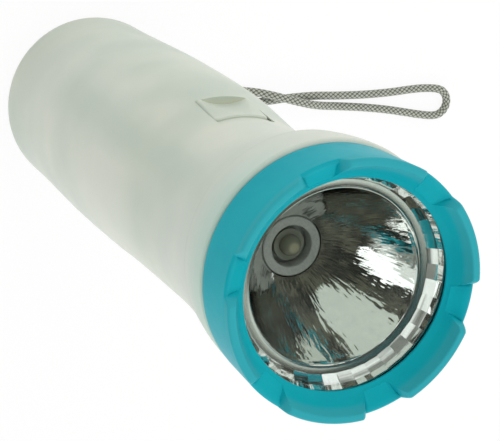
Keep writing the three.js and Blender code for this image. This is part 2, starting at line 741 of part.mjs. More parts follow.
// Each cell: a cup-shaped can, its core, a seal that closes it, and the raised cap.
function cell(name, base) {
  const bore = CELL_RADIUS - CELL_CAN_WALL;
  const canTop = base + CELL_CAN_HEIGHT;
  const capFlange = canTop + CELL_CAN_WALL;
  const sealTop = canTop - GAP;
  const can = turned(
    [
      [0, base],
      [CELL_RADIUS, base],
      [CELL_RADIUS, canTop],
      [bore, canTop],
      [bore, base + CELL_CAN_WALL],
      [0, base + CELL_CAN_WALL],
    ],
  );
  place(`${name}_can`, can, cellJacket);
  const coreTop = sealTop - CELL_SEAL_THICKNESS - GAP;
  place(`${name}_core`, disc(bore - GAP, base + CELL_CAN_WALL + GAP, coreTop), cellPaste);
  place(`${name}_seal`, disc(bore - GAP, coreTop + GAP, sealTop), greyPlastic);
  const cap = turned(
    [
      [0, sealTop + GAP],
      [CELL_CAP_FLANGE, sealTop + GAP],
      [CELL_CAP_FLANGE, capFlange],
      [CELL_CAP_RADIUS, capFlange],
      [CELL_CAP_RADIUS, base + CELL_HEIGHT],
      [0, base + CELL_HEIGHT],
    ],
    SMALL_AROUND,
  );
  place(`${name}_cap`, cap, tinnedSteel);
}

const SPRING_BOTTOM = PLATE_TOP + GAP + SPRING_WIRE;
const SPRING_TOP = PLATE_TOP + GAP + SPRING_LENGTH - SPRING_WIRE;

// The coil's centreline, with a straight stretch of one wire diameter at each end.
function springPoints() {
  const count = SPRING_TURNS * COIL_STEPS;
  const points = [];
  for (let i = 0; i <= count; i += 1) {
    const t = i / count;
    const angle = (i / COIL_STEPS) * TURN;
    const radius = mix(SPRING_FOOT_RADIUS, SPRING_TOP_RADIUS, t);
    const rise = mix(SPRING_BOTTOM, SPRING_TOP, t);
    points.push(new THREE.Vector3(radius * Math.cos(angle), radius * Math.sin(angle), rise));
  }
  const first = points[0].clone().sub(new THREE.Vector3(0, 2 * SPRING_WIRE, 0));
  const last = points[count].clone().add(new THREE.Vector3(0, 2 * SPRING_WIRE, 0));
  return [first, ...points, last];
}

function tailSpring() {
  const points = springPoints();
  let least = Infinity;
  points.forEach((point, i) =>
    points.slice(i + COIL_STEPS - 1).forEach((other) => {
      least = Math.min(least, point.distanceTo(other) - 2 * SPRING_WIRE);
    }),
  );
  console.log(`tail_spring: least gap between its turns ${least.toFixed(2)} mm`);
  const curve = new THREE.CatmullRomCurve3(points);
  return tube(curve, SPRING_WIRE, COIL_SIDES, points.length - 1);
}

// Faces of the switch's layers, counted inwards from the bore's wall at the waist

const SLIDER_WIDTH = WINDOW_WIDTH + 2 * SLIDER_LAP;
const SLIDER_ROOM = SLIDER_WIDTH / 2 + GAP;
const SLIDER_FACE =
  Math.sqrt((WAIST_RADIUS - BARREL_WALL) ** 2 - SLIDER_ROOM ** 2) - WAIST_LEAN - GAP / 2;
const SLIDER_INNER_FACE = SLIDER_FACE - SLIDER_THICKNESS;
const RUNNER_FACE = SLIDER_INNER_FACE - GAP;
const RUNNER_INNER_FACE = RUNNER_FACE - RUNNER_THICKNESS;
const STRIP_LINE = -(RUNNER_INNER_FACE - GAP - STRIP_THICKNESS / 2);

const RUNNER_LENGTH = KNOB_LENGTH + 2 * SLIDER_OVERLAP;
const SLIDER_BACK = SWITCH_BACK - SLIDER_OVERLAP + KNOB_CLEARANCE;
const RUNNER_FRONT = SLIDER_BACK + RUNNER_LENGTH;
const FRAME_LOW = SLIDER_BACK - FRAME_BAR - GAP;
const FRAME_HIGH = RUNNER_FRONT + SLIDE_TRAVEL + GAP + FRAME_BAR;
const RING_CONTACT_RADIUS = HOLDER_RADIUS + GAP + RING_CONTACT_THICKNESS;
const RING_CONTACT_LOW = HOLDER_BOTTOM + HOLDER_FLOOR;

// The rear contact strip runs up the switch side of the bore and jogs in under the switch.
function returnStrip() {
  const wallLine = (height) =>
    [switchSide(boreAt(height)) + GAP + STRIP_THICKNESS / 2, height];
  const floorLine = PLATE_BOTTOM + STRIP_THICKNESS / 2;
  const floorEdge = -(TAIL_RADIUS - TAIL_ROUNDING) + GAP;
  const jogEnd = FRAME_LOW - STRIP_JOG_MARGIN;
  const line = [
    [-(PLATE_RADIUS + GAP), floorLine],
    [floorEdge, floorLine],
    ...heightsBetween(TAIL_ROUNDING + GAP, GRIP_HEIGHT, GRIP_STEPS).map(wallLine),
    wallLine(jogEnd - STRIP_JOG_LENGTH),
    [STRIP_LINE, jogEnd],
    [STRIP_LINE, SWITCH_BACK + SLIDER_OVERLAP],
  ];
  return strip(line, STRIP_THICKNESS, STRIP_WIDTH);
}

// The front one steps in over the cell's shoulder, clear of it while the head is unscrewed.
function frontStrip() {
  const touch = -(RING_CONTACT_RADIUS + GAP + STRIP_THICKNESS / 2);
  const reach = touch - STRIP_LINE;
  const lift = UNSCREW_TURNS * THREAD_PITCH;
  const shoulder = FRONT_CELL_BASE + CELL_CAN_HEIGHT + lift + GAP;
  const ringTop = RING_CONTACT_LOW + RING_CONTACT_HEIGHT;
  const line = [
    [STRIP_LINE, RUNNER_FRONT + SLIDE_TRAVEL / 2],
    [STRIP_LINE, shoulder],
    [touch, shoulder + reach],
    [touch, ringTop - STRIP_THICKNESS],
    [touch - reach / 2, ringTop + reach],
  ];
  return strip(line, STRIP_THICKNESS, STRIP_WIDTH);
}

// Switch

function switchKnob() {
  const back = SWITCH_BACK + KNOB_CLEARANCE;
  const front = back + KNOB_LENGTH;
  const width = WINDOW_WIDTH - 2 * KNOB_CLEARANCE;
  const stem = roundedWindow(width, KNOB_LENGTH, WINDOW_CORNER - KNOB_CLEARANCE, GRIP_RADIUS);
  stem.translate(0, -SLIDER_INNER_FACE, (back + front) / 2);
  let knob = toSolid(stem).intersect(toSolid(loft(outerRings(KNOB_PROUD))));

  // The thumb scoop: a tilted drum, square at the tail end and running out towards the head.
  const surface = radiusAt(back + SCOOP_WALL) - leanAt(back + SCOOP_WALL) + KNOB_PROUD;
  const scoopLength = front - back - SCOOP_WALL;
  const tilt = Math.atan2(SCOOP_DEPTH, scoopLength);
  const drum = new THREE.CylinderGeometry(SCOOP_RADIUS, SCOOP_RADIUS, 4 * KNOB_LENGTH, AROUND);
  drum.rotateX(Math.PI / 2 + tilt);
  drum.translate(0, -(surface - SCOOP_DEPTH + SCOOP_RADIUS), back + SCOOP_WALL);
  const ahead = block(
    [-WINDOW_WIDTH, -2 * GRIP_RADIUS, back + SCOOP_WALL],
    [WINDOW_WIDTH, 0, front + OVERRUN],
  );
  knob = knob.subtract(toSolid(drum).intersect(toSolid(ahead)));

  const slider = block(
    [-SLIDER_WIDTH / 2, -SLIDER_FACE, SLIDER_BACK],
    [SLIDER_WIDTH / 2, -SLIDER_INNER_FACE, RUNNER_FRONT],
  );
  return toGeometry(knob.add(toSolid(slider)));
}

function switchRunner() {
  return block(
    [-RUNNER_WIDTH / 2, -RUNNER_FACE, SLIDER_BACK + GAP],
    [RUNNER_WIDTH / 2, -RUNNER_INNER_FACE, RUNNER_FRONT - GAP],
  );
}

// Rails either side of the slider and a bar past each of its ends, trimmed to the bore.
function switchFrame() {
  const side = SLIDER_ROOM + FRAME_SIDE;
  const outer = -(SLIDER_FACE + OVERRUN);
  const whole = block([-side, outer, FRAME_LOW], [side, -RUNNER_FACE + FRAME_DEPTH, FRAME_HIGH]);
  const slot = block(
    [-SLIDER_ROOM, outer - OVERRUN, FRAME_LOW + FRAME_BAR],
    [SLIDER_ROOM, -RUNNER_FACE, FRAME_HIGH - FRAME_BAR],
  );
  const channel = block(
    [-side + FRAME_RAIL, -SLIDER_INNER_FACE, FRAME_LOW - OVERRUN],
    [side - FRAME_RAIL, 0, FRAME_HIGH + OVERRUN],
  );
  const frame = toSolid(whole).subtract(toSolid(slot)).subtract(toSolid(channel));
  const room = toSolid(loft(boreRings(GAP, FLOOR_THICKNESS, SPIGOT_TOP)));
  return toGeometry(frame.intersect(room));
}

// Strap

function strapHitch() {
  const points = [];
  const top = BAR_HEIGHT + HITCH_BEND;
  const bottom = BAR_HEIGHT - HITCH_BEND;
  const mouth = -(TAIL_RADIUS + HITCH_REACH);
  points.push(new THREE.Vector3(mouth, 0, top));
  points.push(new THREE.Vector3((mouth + BAR_X) / 2, 0, top));
  for (let i = 0; i <= HITCH_BEND_STEPS; i += 1) {
    const angle = TURN / 4 - (i / HITCH_BEND_STEPS) * (TURN / 2);
    const x = BAR_X + HITCH_BEND * Math.cos(angle);
    points.push(new THREE.Vector3(x, 0, BAR_HEIGHT + HITCH_BEND * Math.sin(angle)));
  }
  points.push(new THREE.Vector3((mouth + BAR_X) / 2, 0, bottom));
  points.push(new THREE.Vector3(mouth, 0, bottom));
  return tube(new THREE.CatmullRomCurve3(points), CORD_RADIUS, CORD_SIDES, HITCH_STEPS);
}

// The wrist loop lies on the surface that the torch stands on. One run crosses over the other.
const STRAP_ROUTE = [
  [-29.6, 0, 7.6],
  [-32.6, 0, 7.6],
  [-37.51, -0.79, 6.3],
  [-43.09, -1.24, 4],
  [-49.24, -0.81, 2],
  [-54.31, -0.23, 1.6],
  [-58.3, 0.19, 2.5],
  [-62.25, 0.91, 3.6],
  [-66.17, 1.83, 4.3],
  [-70.09, 2.84, 4.5],
  [-74, 3.86, 4.3],
  [-77.93, 4.77, 3.5],
  [-81.87, 5.49, 2.3],
  [-86.85, 6.01, 1.5],
  [-94.82, 6.65, 1.45],
  [-100.79, 7.28, 1.45],
  [-106.74, 8.1, 1.45],
  [-112.66, 9.13, 1.45],
  [-117.6, 10, 1.45],
  [-122.96, 10.61, 1.45],
  [-125.32, 10.24, 1.45],
  [-127.16, 8.74, 1.45],
  [-128.02, 6.52, 1.45],
  [-127.64, 4.17, 1.45],
  [-126.15, 2.32, 1.45],
  [-123.93, 1.46, 1.45],
  [-118.53, 1.1, 1.45],
  [-113.48, 1.37, 1.45],
  [-107.39, 1.94, 1.45],
  [-101.31, 2.3, 1.45],
  [-95.26, 2.47, 1.45],
  [-87.22, 2.43, 1.45],
  [-78.2, 2.19, 1.45],
  [-70.12, 2.54, 1.45],
  [-61.99, 3.3, 1.45],
  [-53.91, 3.65, 1.45],
  [-45.96, 2.05, 1.45],
  [-39, 0.41, 1.5],
  [-32.6, 0, 2],
  [-29.6, 0, 2],
];

function strapCord() {
  const points = STRAP_ROUTE.map((point) => new THREE.Vector3(...point));
  return tube(new THREE.CatmullRomCurve3(points), CORD_RADIUS, CORD_SIDES, CORD_STEPS);
}

// Assembly

place("barrel_shell", barrelShell(), milkyPlastic);
place("bezel_ring", bezelRing(), turquoisePlastic);
place("lens", disc(LENS_RADIUS, LENS_BOTTOM, LENS_TOP, AROUND), clearPlastic);
place(
  "lens_seal",
  ring(LENS_RADIUS + GAP, LENS_RADIUS + GAP + LENS_SEAL_WIDTH, LENS_BOTTOM, LENS_TOP),
  rubber,
);
place("neck_seal", neckSeal(), rubber);
place("reflector", reflector(), chromed);
place(
  "led_collar",
  ring(COLLAR_BORE, THROAT_RADIUS - GAP, LED_BASE, LED_BASE + COLLAR_HEIGHT, SMALL_AROUND),
  greyPlastic,
);
place(
  "led_body",
  disc(LED_BODY_RADIUS, LED_BASE, LED_BASE + LED_BODY_HEIGHT),
  whitePlastic,
);
place("led_dome", ledDome(), phosphor);
place("led_board", disc(BOARD_RADIUS, BOARD_BOTTOM, BOARD_TOP), aluminium);
place("ballast_resistor", ballastResistor(), resistorBody);
place("lamp_holder", lampHolder(), whitePlastic);
place("centre_contact", centreContact(), brass);
place(
  "ring_contact",
  ring(
    HOLDER_RADIUS + GAP,
    RING_CONTACT_RADIUS,
    RING_CONTACT_LOW,
    RING_CONTACT_LOW + RING_CONTACT_HEIGHT,
    SMALL_AROUND,
  ),
  tinnedSteel,
);
cell("front_cell", FRONT_CELL_BASE);
cell("rear_cell", REAR_CELL_BASE);
place("spring_plate", disc(PLATE_RADIUS, PLATE_BOTTOM, PLATE_TOP), tinnedSteel);
place("tail_spring", tailSpring(), tinnedSteel);
place("return_strip", returnStrip(), tinnedSteel);
place("front_strip", frontStrip(), tinnedSteel);
place("switch_frame", switchFrame(), whitePlastic);
place("switch_knob", switchKnob(), milkyPlastic);
place("switch_runner", switchRunner(), brass);
place("strap_bar", barBetween(POCKET_WIDTH / 2 + BAR_SEAT - GAP, BAR_RADIUS), tinnedSteel);
place("strap_hitch", strapHitch(), greyCord);
place("strap_cord", strapCord(), greyCord);

export default torch;
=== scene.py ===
"""LED flashlight on its tail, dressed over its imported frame. Metres, +Z up, switch towards -Y."""

import math
import random

import bpy
from mathutils import Matrix, Vector


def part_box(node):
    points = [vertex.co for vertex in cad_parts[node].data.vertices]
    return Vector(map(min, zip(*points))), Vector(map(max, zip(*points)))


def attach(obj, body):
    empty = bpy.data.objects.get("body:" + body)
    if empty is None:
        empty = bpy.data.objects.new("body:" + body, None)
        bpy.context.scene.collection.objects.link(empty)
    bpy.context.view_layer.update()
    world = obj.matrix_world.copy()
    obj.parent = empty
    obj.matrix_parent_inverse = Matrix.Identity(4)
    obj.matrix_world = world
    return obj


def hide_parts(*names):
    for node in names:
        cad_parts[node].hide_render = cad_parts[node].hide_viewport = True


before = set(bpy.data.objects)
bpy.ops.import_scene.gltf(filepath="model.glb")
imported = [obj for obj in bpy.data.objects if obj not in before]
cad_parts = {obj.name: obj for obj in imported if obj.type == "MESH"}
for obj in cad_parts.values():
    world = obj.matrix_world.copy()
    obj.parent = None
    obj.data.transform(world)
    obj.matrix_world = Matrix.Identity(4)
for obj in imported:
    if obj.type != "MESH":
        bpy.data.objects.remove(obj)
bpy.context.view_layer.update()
TURN = 2 * math.pi

# Camera, at the photograph's viewing angle
CAMERA_PLACE = (0.19903, -0.14351, 0.57635)
CAMERA_RIGHT = (-0.9181, -0.0577, 0.3923)
CAMERA_BACK = (0.3917, -0.2846, 0.8750)
CAMERA_LENS = 144
SENSOR_WIDTH = 36

# Barrel
GAP = 0.0003
BARREL_SIDES = 168
BARREL_WALL = 0.0022
FLOOR_THICKNESS = 0.003
GATE_RADIUS = 0.0013
GATE_EDGE = 0.0001
GATE_STEP = 0.00025
TAIL_ROUNDING = 0.008
TAIL_RADIUS = 0.0266
GRIP_RADIUS = 0.02775
GRIP_HEIGHT = 0.064
WAIST_RADIUS = 0.0259
WAIST_HEIGHT = 0.129
WAIST_LEAN = 0.0016
LEAN_LENGTH = 0.037
CREASE_RADIUS = 0.0293
CREASE_HEIGHT = 0.1616
CREASE_STEP = 0.00035
BELL_RADIUS = 0.03124
BELL_LEAN = -0.0006
BELL_ROUNDING = 0.0012
BARREL_LENGTH = 0.176
SPIGOT_RADIUS = 0.0275
SPIGOT_BORE = 0.0261
SPIGOT_TOP = 0.1845
SPIGOT_EDGE = 0.0003
SLOPE_STEP = 0.0001
SKIN_MATCH = 0.93
PARTING_RIDGE = 0.00005
PARTING_WIDTH = 0.00022
PARTING_AZIMUTH = math.radians(-5)
PARTING_START = 0.001
# Azimuth of the painted shaded band down the barrel
SHADED_BAND_AZIMUTH = math.radians(-34)

# Switch
WINDOW_WIDTH = 0.015
WINDOW_BACK = 0.1085
WINDOW_FRONT = 0.128
WINDOW_CORNER = 0.0014
WINDOW_REACH = 0.01
WINDOW_INSIDE = 0.0185
KNOB_CLEARANCE = 0.00012
KNOB_LENGTH = 0.0147
KNOB_PROUD = 0.0005
KNOB_FOOT = 0.0192
KNOB_EDGE = 0.00035
SCOOP_WALL = 0.0017
SCOOP_DEPTH = 0.0021
SCOOP_RADIUS = 0.016
SCOOP_ROWS = (-0.0002, -0.0001, 0.0, 0.00005, 0.0002, 0.0006)
# Width of the painted shade tint past the foot of the scoop's back wall
SCOOP_SHADE_WIDTH = 0.0016
SLIDER_HALF_WIDTH = 0.0089
SLIDER_INSIDE = 0.0201
SLIDER_BACK = 0.10435
SLIDER_FRONT = 0.12795
SLIDER_LAP = 0.0001
SWITCH_TRAVEL = 0.0042
APRON_HALF_WIDTH = 0.0081
APRON_DEPTH = 0.0005
APRON_THICKNESS = 0.0006
APRON_LAP = 0.0009
APRON_ROOM = 0.0001
APRON_ROOM_MARGIN = 0.001

# Strap pocket
POCKET_WIDTH = 0.012
POCKET_HEIGHT = 0.0096
POCKET_DEPTH = 0.0074
BAR_RADIUS = 0.00115
BAR_INSET = 0.0031
BOSS_WALL = 0.002
BOSS_BACK_WALL = 0.0015
BOSS_INSET = 0.0036
POCKET_MARGIN = 0.002

# Bezel ring
BEZEL_BACK = 0.1763
BEZEL_SIDE_FOOT = 0.1783
BEZEL_BACK_RADIUS = 0.03104
BEZEL_FRONT_RADIUS = 0.03184
BEZEL_OPENING = 0.02585
BEZEL_EDGE = 0.0007
BEZEL_BACK_EDGE = 0.0006
BEZEL_BORE = 0.029
BEZEL_BORE_TOP = 0.1845
LENS_CHAMBER_RADIUS = 0.0283
LENS_CHAMBER_FOOT = 0.1848
NECK_SEAL_RADIUS = 0.0007
NECK_SEAL_TOP = 0.178
LIP_UNDERSIDE = 0.1878
LIP_TOP = 0.1883
LIP_CURLS = (0.0001, 0.0006)
LIP_SWELL = 0.00005
RIM_TOP = 0.194
RIM_THICKNESS = 0.0018
RIM_BOW = 0.7
NOTCH_COUNT = 6
NOTCH_AZIMUTH = math.radians(-10.5)
NOTCH_EDGE = 0.1914
NOTCH_FOOT = 0.1889
NOTCH_SHELF = 0.18911
NOTCH_FOOT_WIDTH = 0.0062
NOTCH_TOP_WIDTH = 0.0134

# Reflector and LED; the sections of the facets and the ledge run outwards and upwards from their foot
FLANGE_TOP = 0.1859
FLANGE_THICKNESS = 0.0011
BAND_FOOT_RADIUS = 0.0239
BAND_FOOT = 0.1823
GROOVE_WIDTH = 0.00004
GROOVE_RISE = 0.0001
BOWL_RADIUS = 0.0216
BOWL_TOP = 0.18195
THROAT_RADIUS = 0.0079
THROAT_TOP = 0.15755
THROAT_BOTTOM = 0.15385
REFLECTOR_WALL = 0.0012
REFLECTOR_NECK = 0.010
FACET_COUNT = 40
FACET_TILT = 0.0001
FACET_SECTION = [(0.0, 0.0), (0.00098, 0.0011), (0.0018, 0.0022), (0.0025, 0.0036)]
LEDGE = [
    (0.00005, 0.00016), (0.00015, 0.00026), (0.0003, 0.0003), (0.00045, 0.00027), (0.0006, 0.00022),
    (0.0008, 0.000185), (0.0011, 0.00018), (0.0015, 0.000195), (0.0019, 0.00023), (0.00215, 0.00026),
]
COLLAR_BORE = 0.00527
COLLAR_EDGE = 0.00035
LED_DOME_RADIUS = 0.0027
LED_DOME_CORE = 0.0001

# Cord
CORD_RADIUS = 0.00135
STRAP_ROUTE = [
    (-0.0296, 0, 0.0076),
    (-0.0326, 0, 0.0076),
    (-0.03751, -0.00079, 0.0063),
    (-0.04309, -0.00124, 0.004),
    (-0.04924, -0.00081, 0.002),
    (-0.05431, -0.00023, 0.0016),
    (-0.0583, 0.00019, 0.0025),
    (-0.06225, 0.00091, 0.0036),
    (-0.06617, 0.00183, 0.0043),
    (-0.07009, 0.00284, 0.0045),
    (-0.074, 0.00386, 0.0043),
    (-0.07793, 0.00477, 0.0035),
    (-0.08187, 0.00549, 0.0023),
    (-0.08685, 0.00601, 0.0015),
    (-0.09482, 0.00665, 0.00145),
    (-0.10079, 0.00728, 0.00145),
    (-0.10674, 0.0081, 0.00145),
    (-0.11266, 0.00913, 0.00145),
    (-0.1176, 0.01, 0.00145),
    (-0.12296, 0.01061, 0.00145),
    (-0.12532, 0.01024, 0.00145),
    (-0.12716, 0.00874, 0.00145),
    (-0.12802, 0.00652, 0.00145),
    (-0.12764, 0.00417, 0.00145),
    (-0.12615, 0.00232, 0.00145),
    (-0.12393, 0.00146, 0.00145),
    (-0.11853, 0.0011, 0.00145),
    (-0.11348, 0.00137, 0.00145),
    (-0.10739, 0.00194, 0.00145),
    (-0.10131, 0.0023, 0.00145),
    (-0.09526, 0.00247, 0.00145),
    (-0.08722, 0.00243, 0.00145),
    (-0.0782, 0.00219, 0.00145),
    (-0.07012, 0.00254, 0.00145),
    (-0.06199, 0.0033, 0.00145),
    (-0.05391, 0.00365, 0.00145),
    (-0.04596, 0.00205, 0.00145),
    (-0.039, 0.00041, 0.0015),
    (-0.0326, 0, 0.002),
    (-0.0296, 0, 0.002),
]
BRAID_STRANDS = 6
BRAID_PITCH = 0.0105
BRAID_RELIEF = 0.00013
FULL_BRAID = (0.00017, 44)

# Set and light: a lit patch has its azimuth, elevation and tilt in degrees, its half sizes and its colour
STAGE_RADIUS = 3.0
STAGE_DEPTH = 0.001
KEY_PLACE = (-0.1, -1.0, 0.9)
KEY_TARGET = (0.0, 0.0, 0.1)
KEY_SIZE = 0.8
KEY_WATTS = 3.1
KEY_COLOUR = (1.0, 0.965, 0.89)
SOFT_WALLS = [
    ((-34.0, 15.0, 0.0), (0.6, 0.75), (0.42, 0.43, 0.42)),
    ((90.0, 12.0, 0.0), (1.1, 0.7), (2.2, 2.2, 2.17)),
    ((-130.0, 18.0, 0.0), (0.7, 0.7), (1.3, 1.3, 1.27)),
]
SOFT_WINDOWS = [
    ((91.0, 46.0, 0.0), (0.84, 0.42), (0.72, 0.77, 0.70)),
    ((-129.0, 47.0, 8.0), (0.38, 0.16), (1.8, 1.8, 1.8)),
    ((14.0, 17.0, 0.0), (0.06, 0.10), (1.2, 1.2, 1.2)),
    ((51.0, 12.0, 0.0), (0.09, 0.10), (1.1, 1.1, 1.1)),
    ((-118.0, 14.0, 0.0), (0.20, 0.14), (1.2, 1.2, 1.2)),
]


# Small sums


def mix(a, b, t):
    return a + (b - a) * t


def ease(t):
    return (1 - math.cos(math.pi * t)) / 2


def clamp(t):
    return min(max(t, 0.0), 1.0)


def steps(low, high, count):
    return [mix(low, high, i / count) for i in range(count + 1)]


# Meshes


def add_piece(name, vertices, faces, smooth=True):
    mesh = bpy.data.meshes.new(name)
    mesh.from_pydata([tuple(v) for v in vertices], [], faces)
    mesh.validate()
    mesh.polygons.foreach_set("use_smooth", [smooth] * len(mesh.polygons))
    piece = bpy.data.objects.new(name, mesh)
    bpy.context.scene.collection.objects.link(piece)
    return piece


def grid_faces(rows, columns, wrap_rows=False, wrap_columns=True):
    """Faces between rows of vertices, each row being one ring of columns."""
    faces = []
    for r in range(rows if wrap_rows else rows - 1):
        for c in range(columns if wrap_columns else columns - 1):
            a, b = r * columns + c, r * columns + (c + 1) % columns
            up = ((r + 1) % rows) * columns
            faces.append((a, b, up + (c + 1) % columns, up + c))
    return faces


def capped_grid(rings):
    """A closed surface through rings of as many points each, with its two ends closed."""
    rows, columns = len(rings), len(rings[0])
    vertices = [p for ring in rings for p in ring]
    faces = grid_faces(rows, columns)
    faces.append(tuple(reversed(range(columns))))
    faces.append(tuple((rows - 1) * columns + c for c in range(columns)))
    return vertices, faces


def even_azimuths(count):
    return [TURN * i / count for i in range(count)]


def ring_points(radius, height, azimuths, lean=0.0):
    return [(radius * math.cos(a), radius * math.sin(a) + lean, height) for a in azimuths]


def turned_ring(name, outline, azimuths):
    """A closed ring turned from a closed outline of (radius, height) points, listed anticlockwise."""
    rings = [ring_points(radius, height, azimuths) for radius, height in outline]
    vertices = [p for ring in rings for p in ring]
    return add_piece(name, vertices, grid_faces(len(rings), len(azimuths), wrap_rows=True))


def turned_solid(name, outline, azimuths):
    """A solid turned from an open outline of (radius, height) points, from its lowest end to its top."""
    rings = [ring_points(radius, height, azimuths) for radius, height in outline]
    vertices, faces = capped_grid(rings)
    return add_piece(name, vertices, faces)


def arc(centre, radius, start, end, count):
    """Points on an arc in the (radius, height) plane, angles in degrees."""
    out = []
    for angle in steps(math.radians(start), math.radians(end), count):
        out.append((centre[0] + radius * math.cos(angle), centre[1] + radius * math.sin(angle)))
    return out


def cut(piece, cutter, operation="DIFFERENCE"):
    """Cuts or joins one mesh with another and throws the other away."""
    modifier = piece.modifiers.new("cut", "BOOLEAN")
    modifier.operation = operation
    modifier.solver = "EXACT"
    modifier.object = cutter
    graph = bpy.context.evaluated_depsgraph_get()
    done = bpy.data.meshes.new_from_object(piece.evaluated_get(graph))
    piece.modifiers.clear()
    piece.data = done
    bpy.data.objects.remove(cutter)


def smooth_by_angle(piece, degrees):
    """Shades a piece smooth, apart from edges sharper than an angle."""
    mesh = piece.data
    mesh.polygons.foreach_set("use_smooth", [True] * len(mesh.polygons))
    mesh.set_sharp_from_angle(angle=math.radians(degrees))


# Barrel


def radius_at(height):
    if height < TAIL_ROUNDING:
        drop = TAIL_ROUNDING - height
        return TAIL_RADIUS - TAIL_ROUNDING + math.sqrt(max(TAIL_ROUNDING**2 - drop**2, 0))
    if height < GRIP_HEIGHT:
        t = (height - TAIL_ROUNDING) / (GRIP_HEIGHT - TAIL_ROUNDING)
        return mix(TAIL_RADIUS, GRIP_RADIUS, ease(t))
    if height < WAIST_HEIGHT:
        t = (height - GRIP_HEIGHT) / (WAIST_HEIGHT - GRIP_HEIGHT)
        return mix(GRIP_RADIUS, WAIST_RADIUS, ease(t**1.5))
    if height < CREASE_HEIGHT:
        t = (height - WAIST_HEIGHT) / (CREASE_HEIGHT - WAIST_HEIGHT)
        return mix(WAIST_RADIUS, CREASE_RADIUS, t**1.8)
    t = clamp((height - CREASE_HEIGHT) / (BARREL_LENGTH - CREASE_HEIGHT))
    return mix(CREASE_RADIUS + CREASE_STEP, BELL_RADIUS, math.sin(t * math.pi / 2))


def lean_at(height):
    if height < WAIST_HEIGHT:
        return WAIST_LEAN * ease(clamp(1 - (WAIST_HEIGHT - height) / LEAN_LENGTH))
    t = clamp((height - WAIST_HEIGHT) / (CREASE_HEIGHT - WAIST_HEIGHT))
    return mix(WAIST_LEAN, BELL_LEAN, t**1.6)


def bore_at(height):
    if height < WAIST_HEIGHT:
        return radius_at(height) - BARREL_WALL, lean_at(height)
    t = clamp((height - WAIST_HEIGHT) / (CREASE_HEIGHT - WAIST_HEIGHT))
    return mix(WAIST_RADIUS - BARREL_WALL, SPIGOT_BORE, ease(t)), WAIST_LEAN * (1 - t)


def barrel_azimuths():
    """Even steps, with finer ones where the mould's two halves met."""
    azimuths = set(round(a, 6) for a in even_azimuths(BARREL_SIDES))
    for middle in (PARTING_AZIMUTH, PARTING_AZIMUTH + math.pi):
        for degrees in (0.2, 0.4, 0.65, 0.95, 1.4):
            for side in (-1, 1):
                azimuths.add(round((middle + side * math.radians(degrees)) % TURN, 6))
    return sorted(azimuths)


def parting_rise(azimuth, radius):
    turned = (azimuth - PARTING_AZIMUTH) % math.pi
    along = min(turned, math.pi - turned) * radius
    return PARTING_RIDGE * math.exp(-((along / PARTING_WIDTH) ** 2))


def barrel_rings(azimuths):
    def outer(height, ridge=True):
        radius, lean = radius_at(height), lean_at(height)
        out = []
        for a in azimuths:
            r = radius + (parting_rise(a, radius) if ridge else 0.0)
            out.append((r * math.cos(a), r * math.sin(a) + lean, height))
        return out

    foot = TAIL_RADIUS - TAIL_ROUNDING
    rings = [ring_points(GATE_RADIUS * share, GAP, azimuths) for share in (0.3, 0.9)]
    rings.append(ring_points(GATE_RADIUS, GATE_STEP, azimuths))
    rings.append(ring_points(GATE_RADIUS + GATE_EDGE, 0, azimuths))
    rings += [ring_points(foot * share, 0, azimuths) for share in (0.4, 0.7, 0.9)]
    for angle in steps(0.0, math.pi / 2, 12):
        height = TAIL_ROUNDING * (1 - math.cos(angle))
        rings.append(outer(height, ridge=height > PARTING_START))
    heights = steps(TAIL_ROUNDING, GRIP_HEIGHT, 12)[1:]
    heights += steps(GRIP_HEIGHT, WAIST_HEIGHT, 26)[1:]
    heights += steps(WAIST_HEIGHT, CREASE_HEIGHT - CREASE_STEP, 18)[1:]
    rings += [outer(h) for h in heights]
    rings += [outer(h) for h in steps(CREASE_HEIGHT, BARREL_LENGTH - BELL_ROUNDING, 9)]
    for angle in steps(0.0, math.pi / 2, 6)[1:]:
        shrink = BELL_ROUNDING * (1 - math.cos(angle))
        height = BARREL_LENGTH - BELL_ROUNDING * (1 - math.sin(angle))
        radius = BELL_RADIUS - shrink
        rings.append(ring_points(radius, height, azimuths, BELL_LEAN))
    spigot = [
        (SPIGOT_RADIUS + SPIGOT_EDGE, BARREL_LENGTH),
        (SPIGOT_RADIUS, BARREL_LENGTH + SPIGOT_EDGE),
        (SPIGOT_RADIUS, SPIGOT_TOP - SPIGOT_EDGE),
        (SPIGOT_RADIUS - SPIGOT_EDGE, SPIGOT_TOP),
        (SPIGOT_BORE + SPIGOT_EDGE, SPIGOT_TOP),
        (SPIGOT_BORE, SPIGOT_TOP - SPIGOT_EDGE),
    ]
    rings += [ring_points(radius, height, azimuths) for radius, height in spigot]
    inner = steps(CREASE_HEIGHT, WAIST_HEIGHT, 8) + steps(WAIST_HEIGHT, GRIP_HEIGHT, 8)[1:]
    inner += steps(GRIP_HEIGHT, TAIL_ROUNDING, 5)[1:]
    for height in inner:
        radius, lean = bore_at(height)
        rings.append(ring_points(radius, height, azimuths, lean))
    for share in (1.0, 0.6, 0.2):
        rings.append(ring_points(foot * share, FLOOR_THICKNESS, azimuths))
    return rings


def window_cutter():
    """A prism along Y whose section in XZ is a rectangle with round corners."""
    outline = []
    for x, z, start in ((1, 1, 0), (-1, 1, 90), (-1, -1, 180), (1, -1, 270)):
        height = WINDOW_FRONT - WINDOW_CORNER if z > 0 else WINDOW_BACK + WINDOW_CORNER
        middle = (x * (WINDOW_WIDTH / 2 - WINDOW_CORNER), height)
        outline += arc(middle, WINDOW_CORNER, start, start + 90, 8)
    ends = (-WINDOW_INSIDE, -GRIP_RADIUS - WINDOW_REACH)
    vertices, faces = capped_grid([[(x, y, z) for x, z in outline] for y in ends])
    return add_piece("window", vertices, faces, smooth=False)


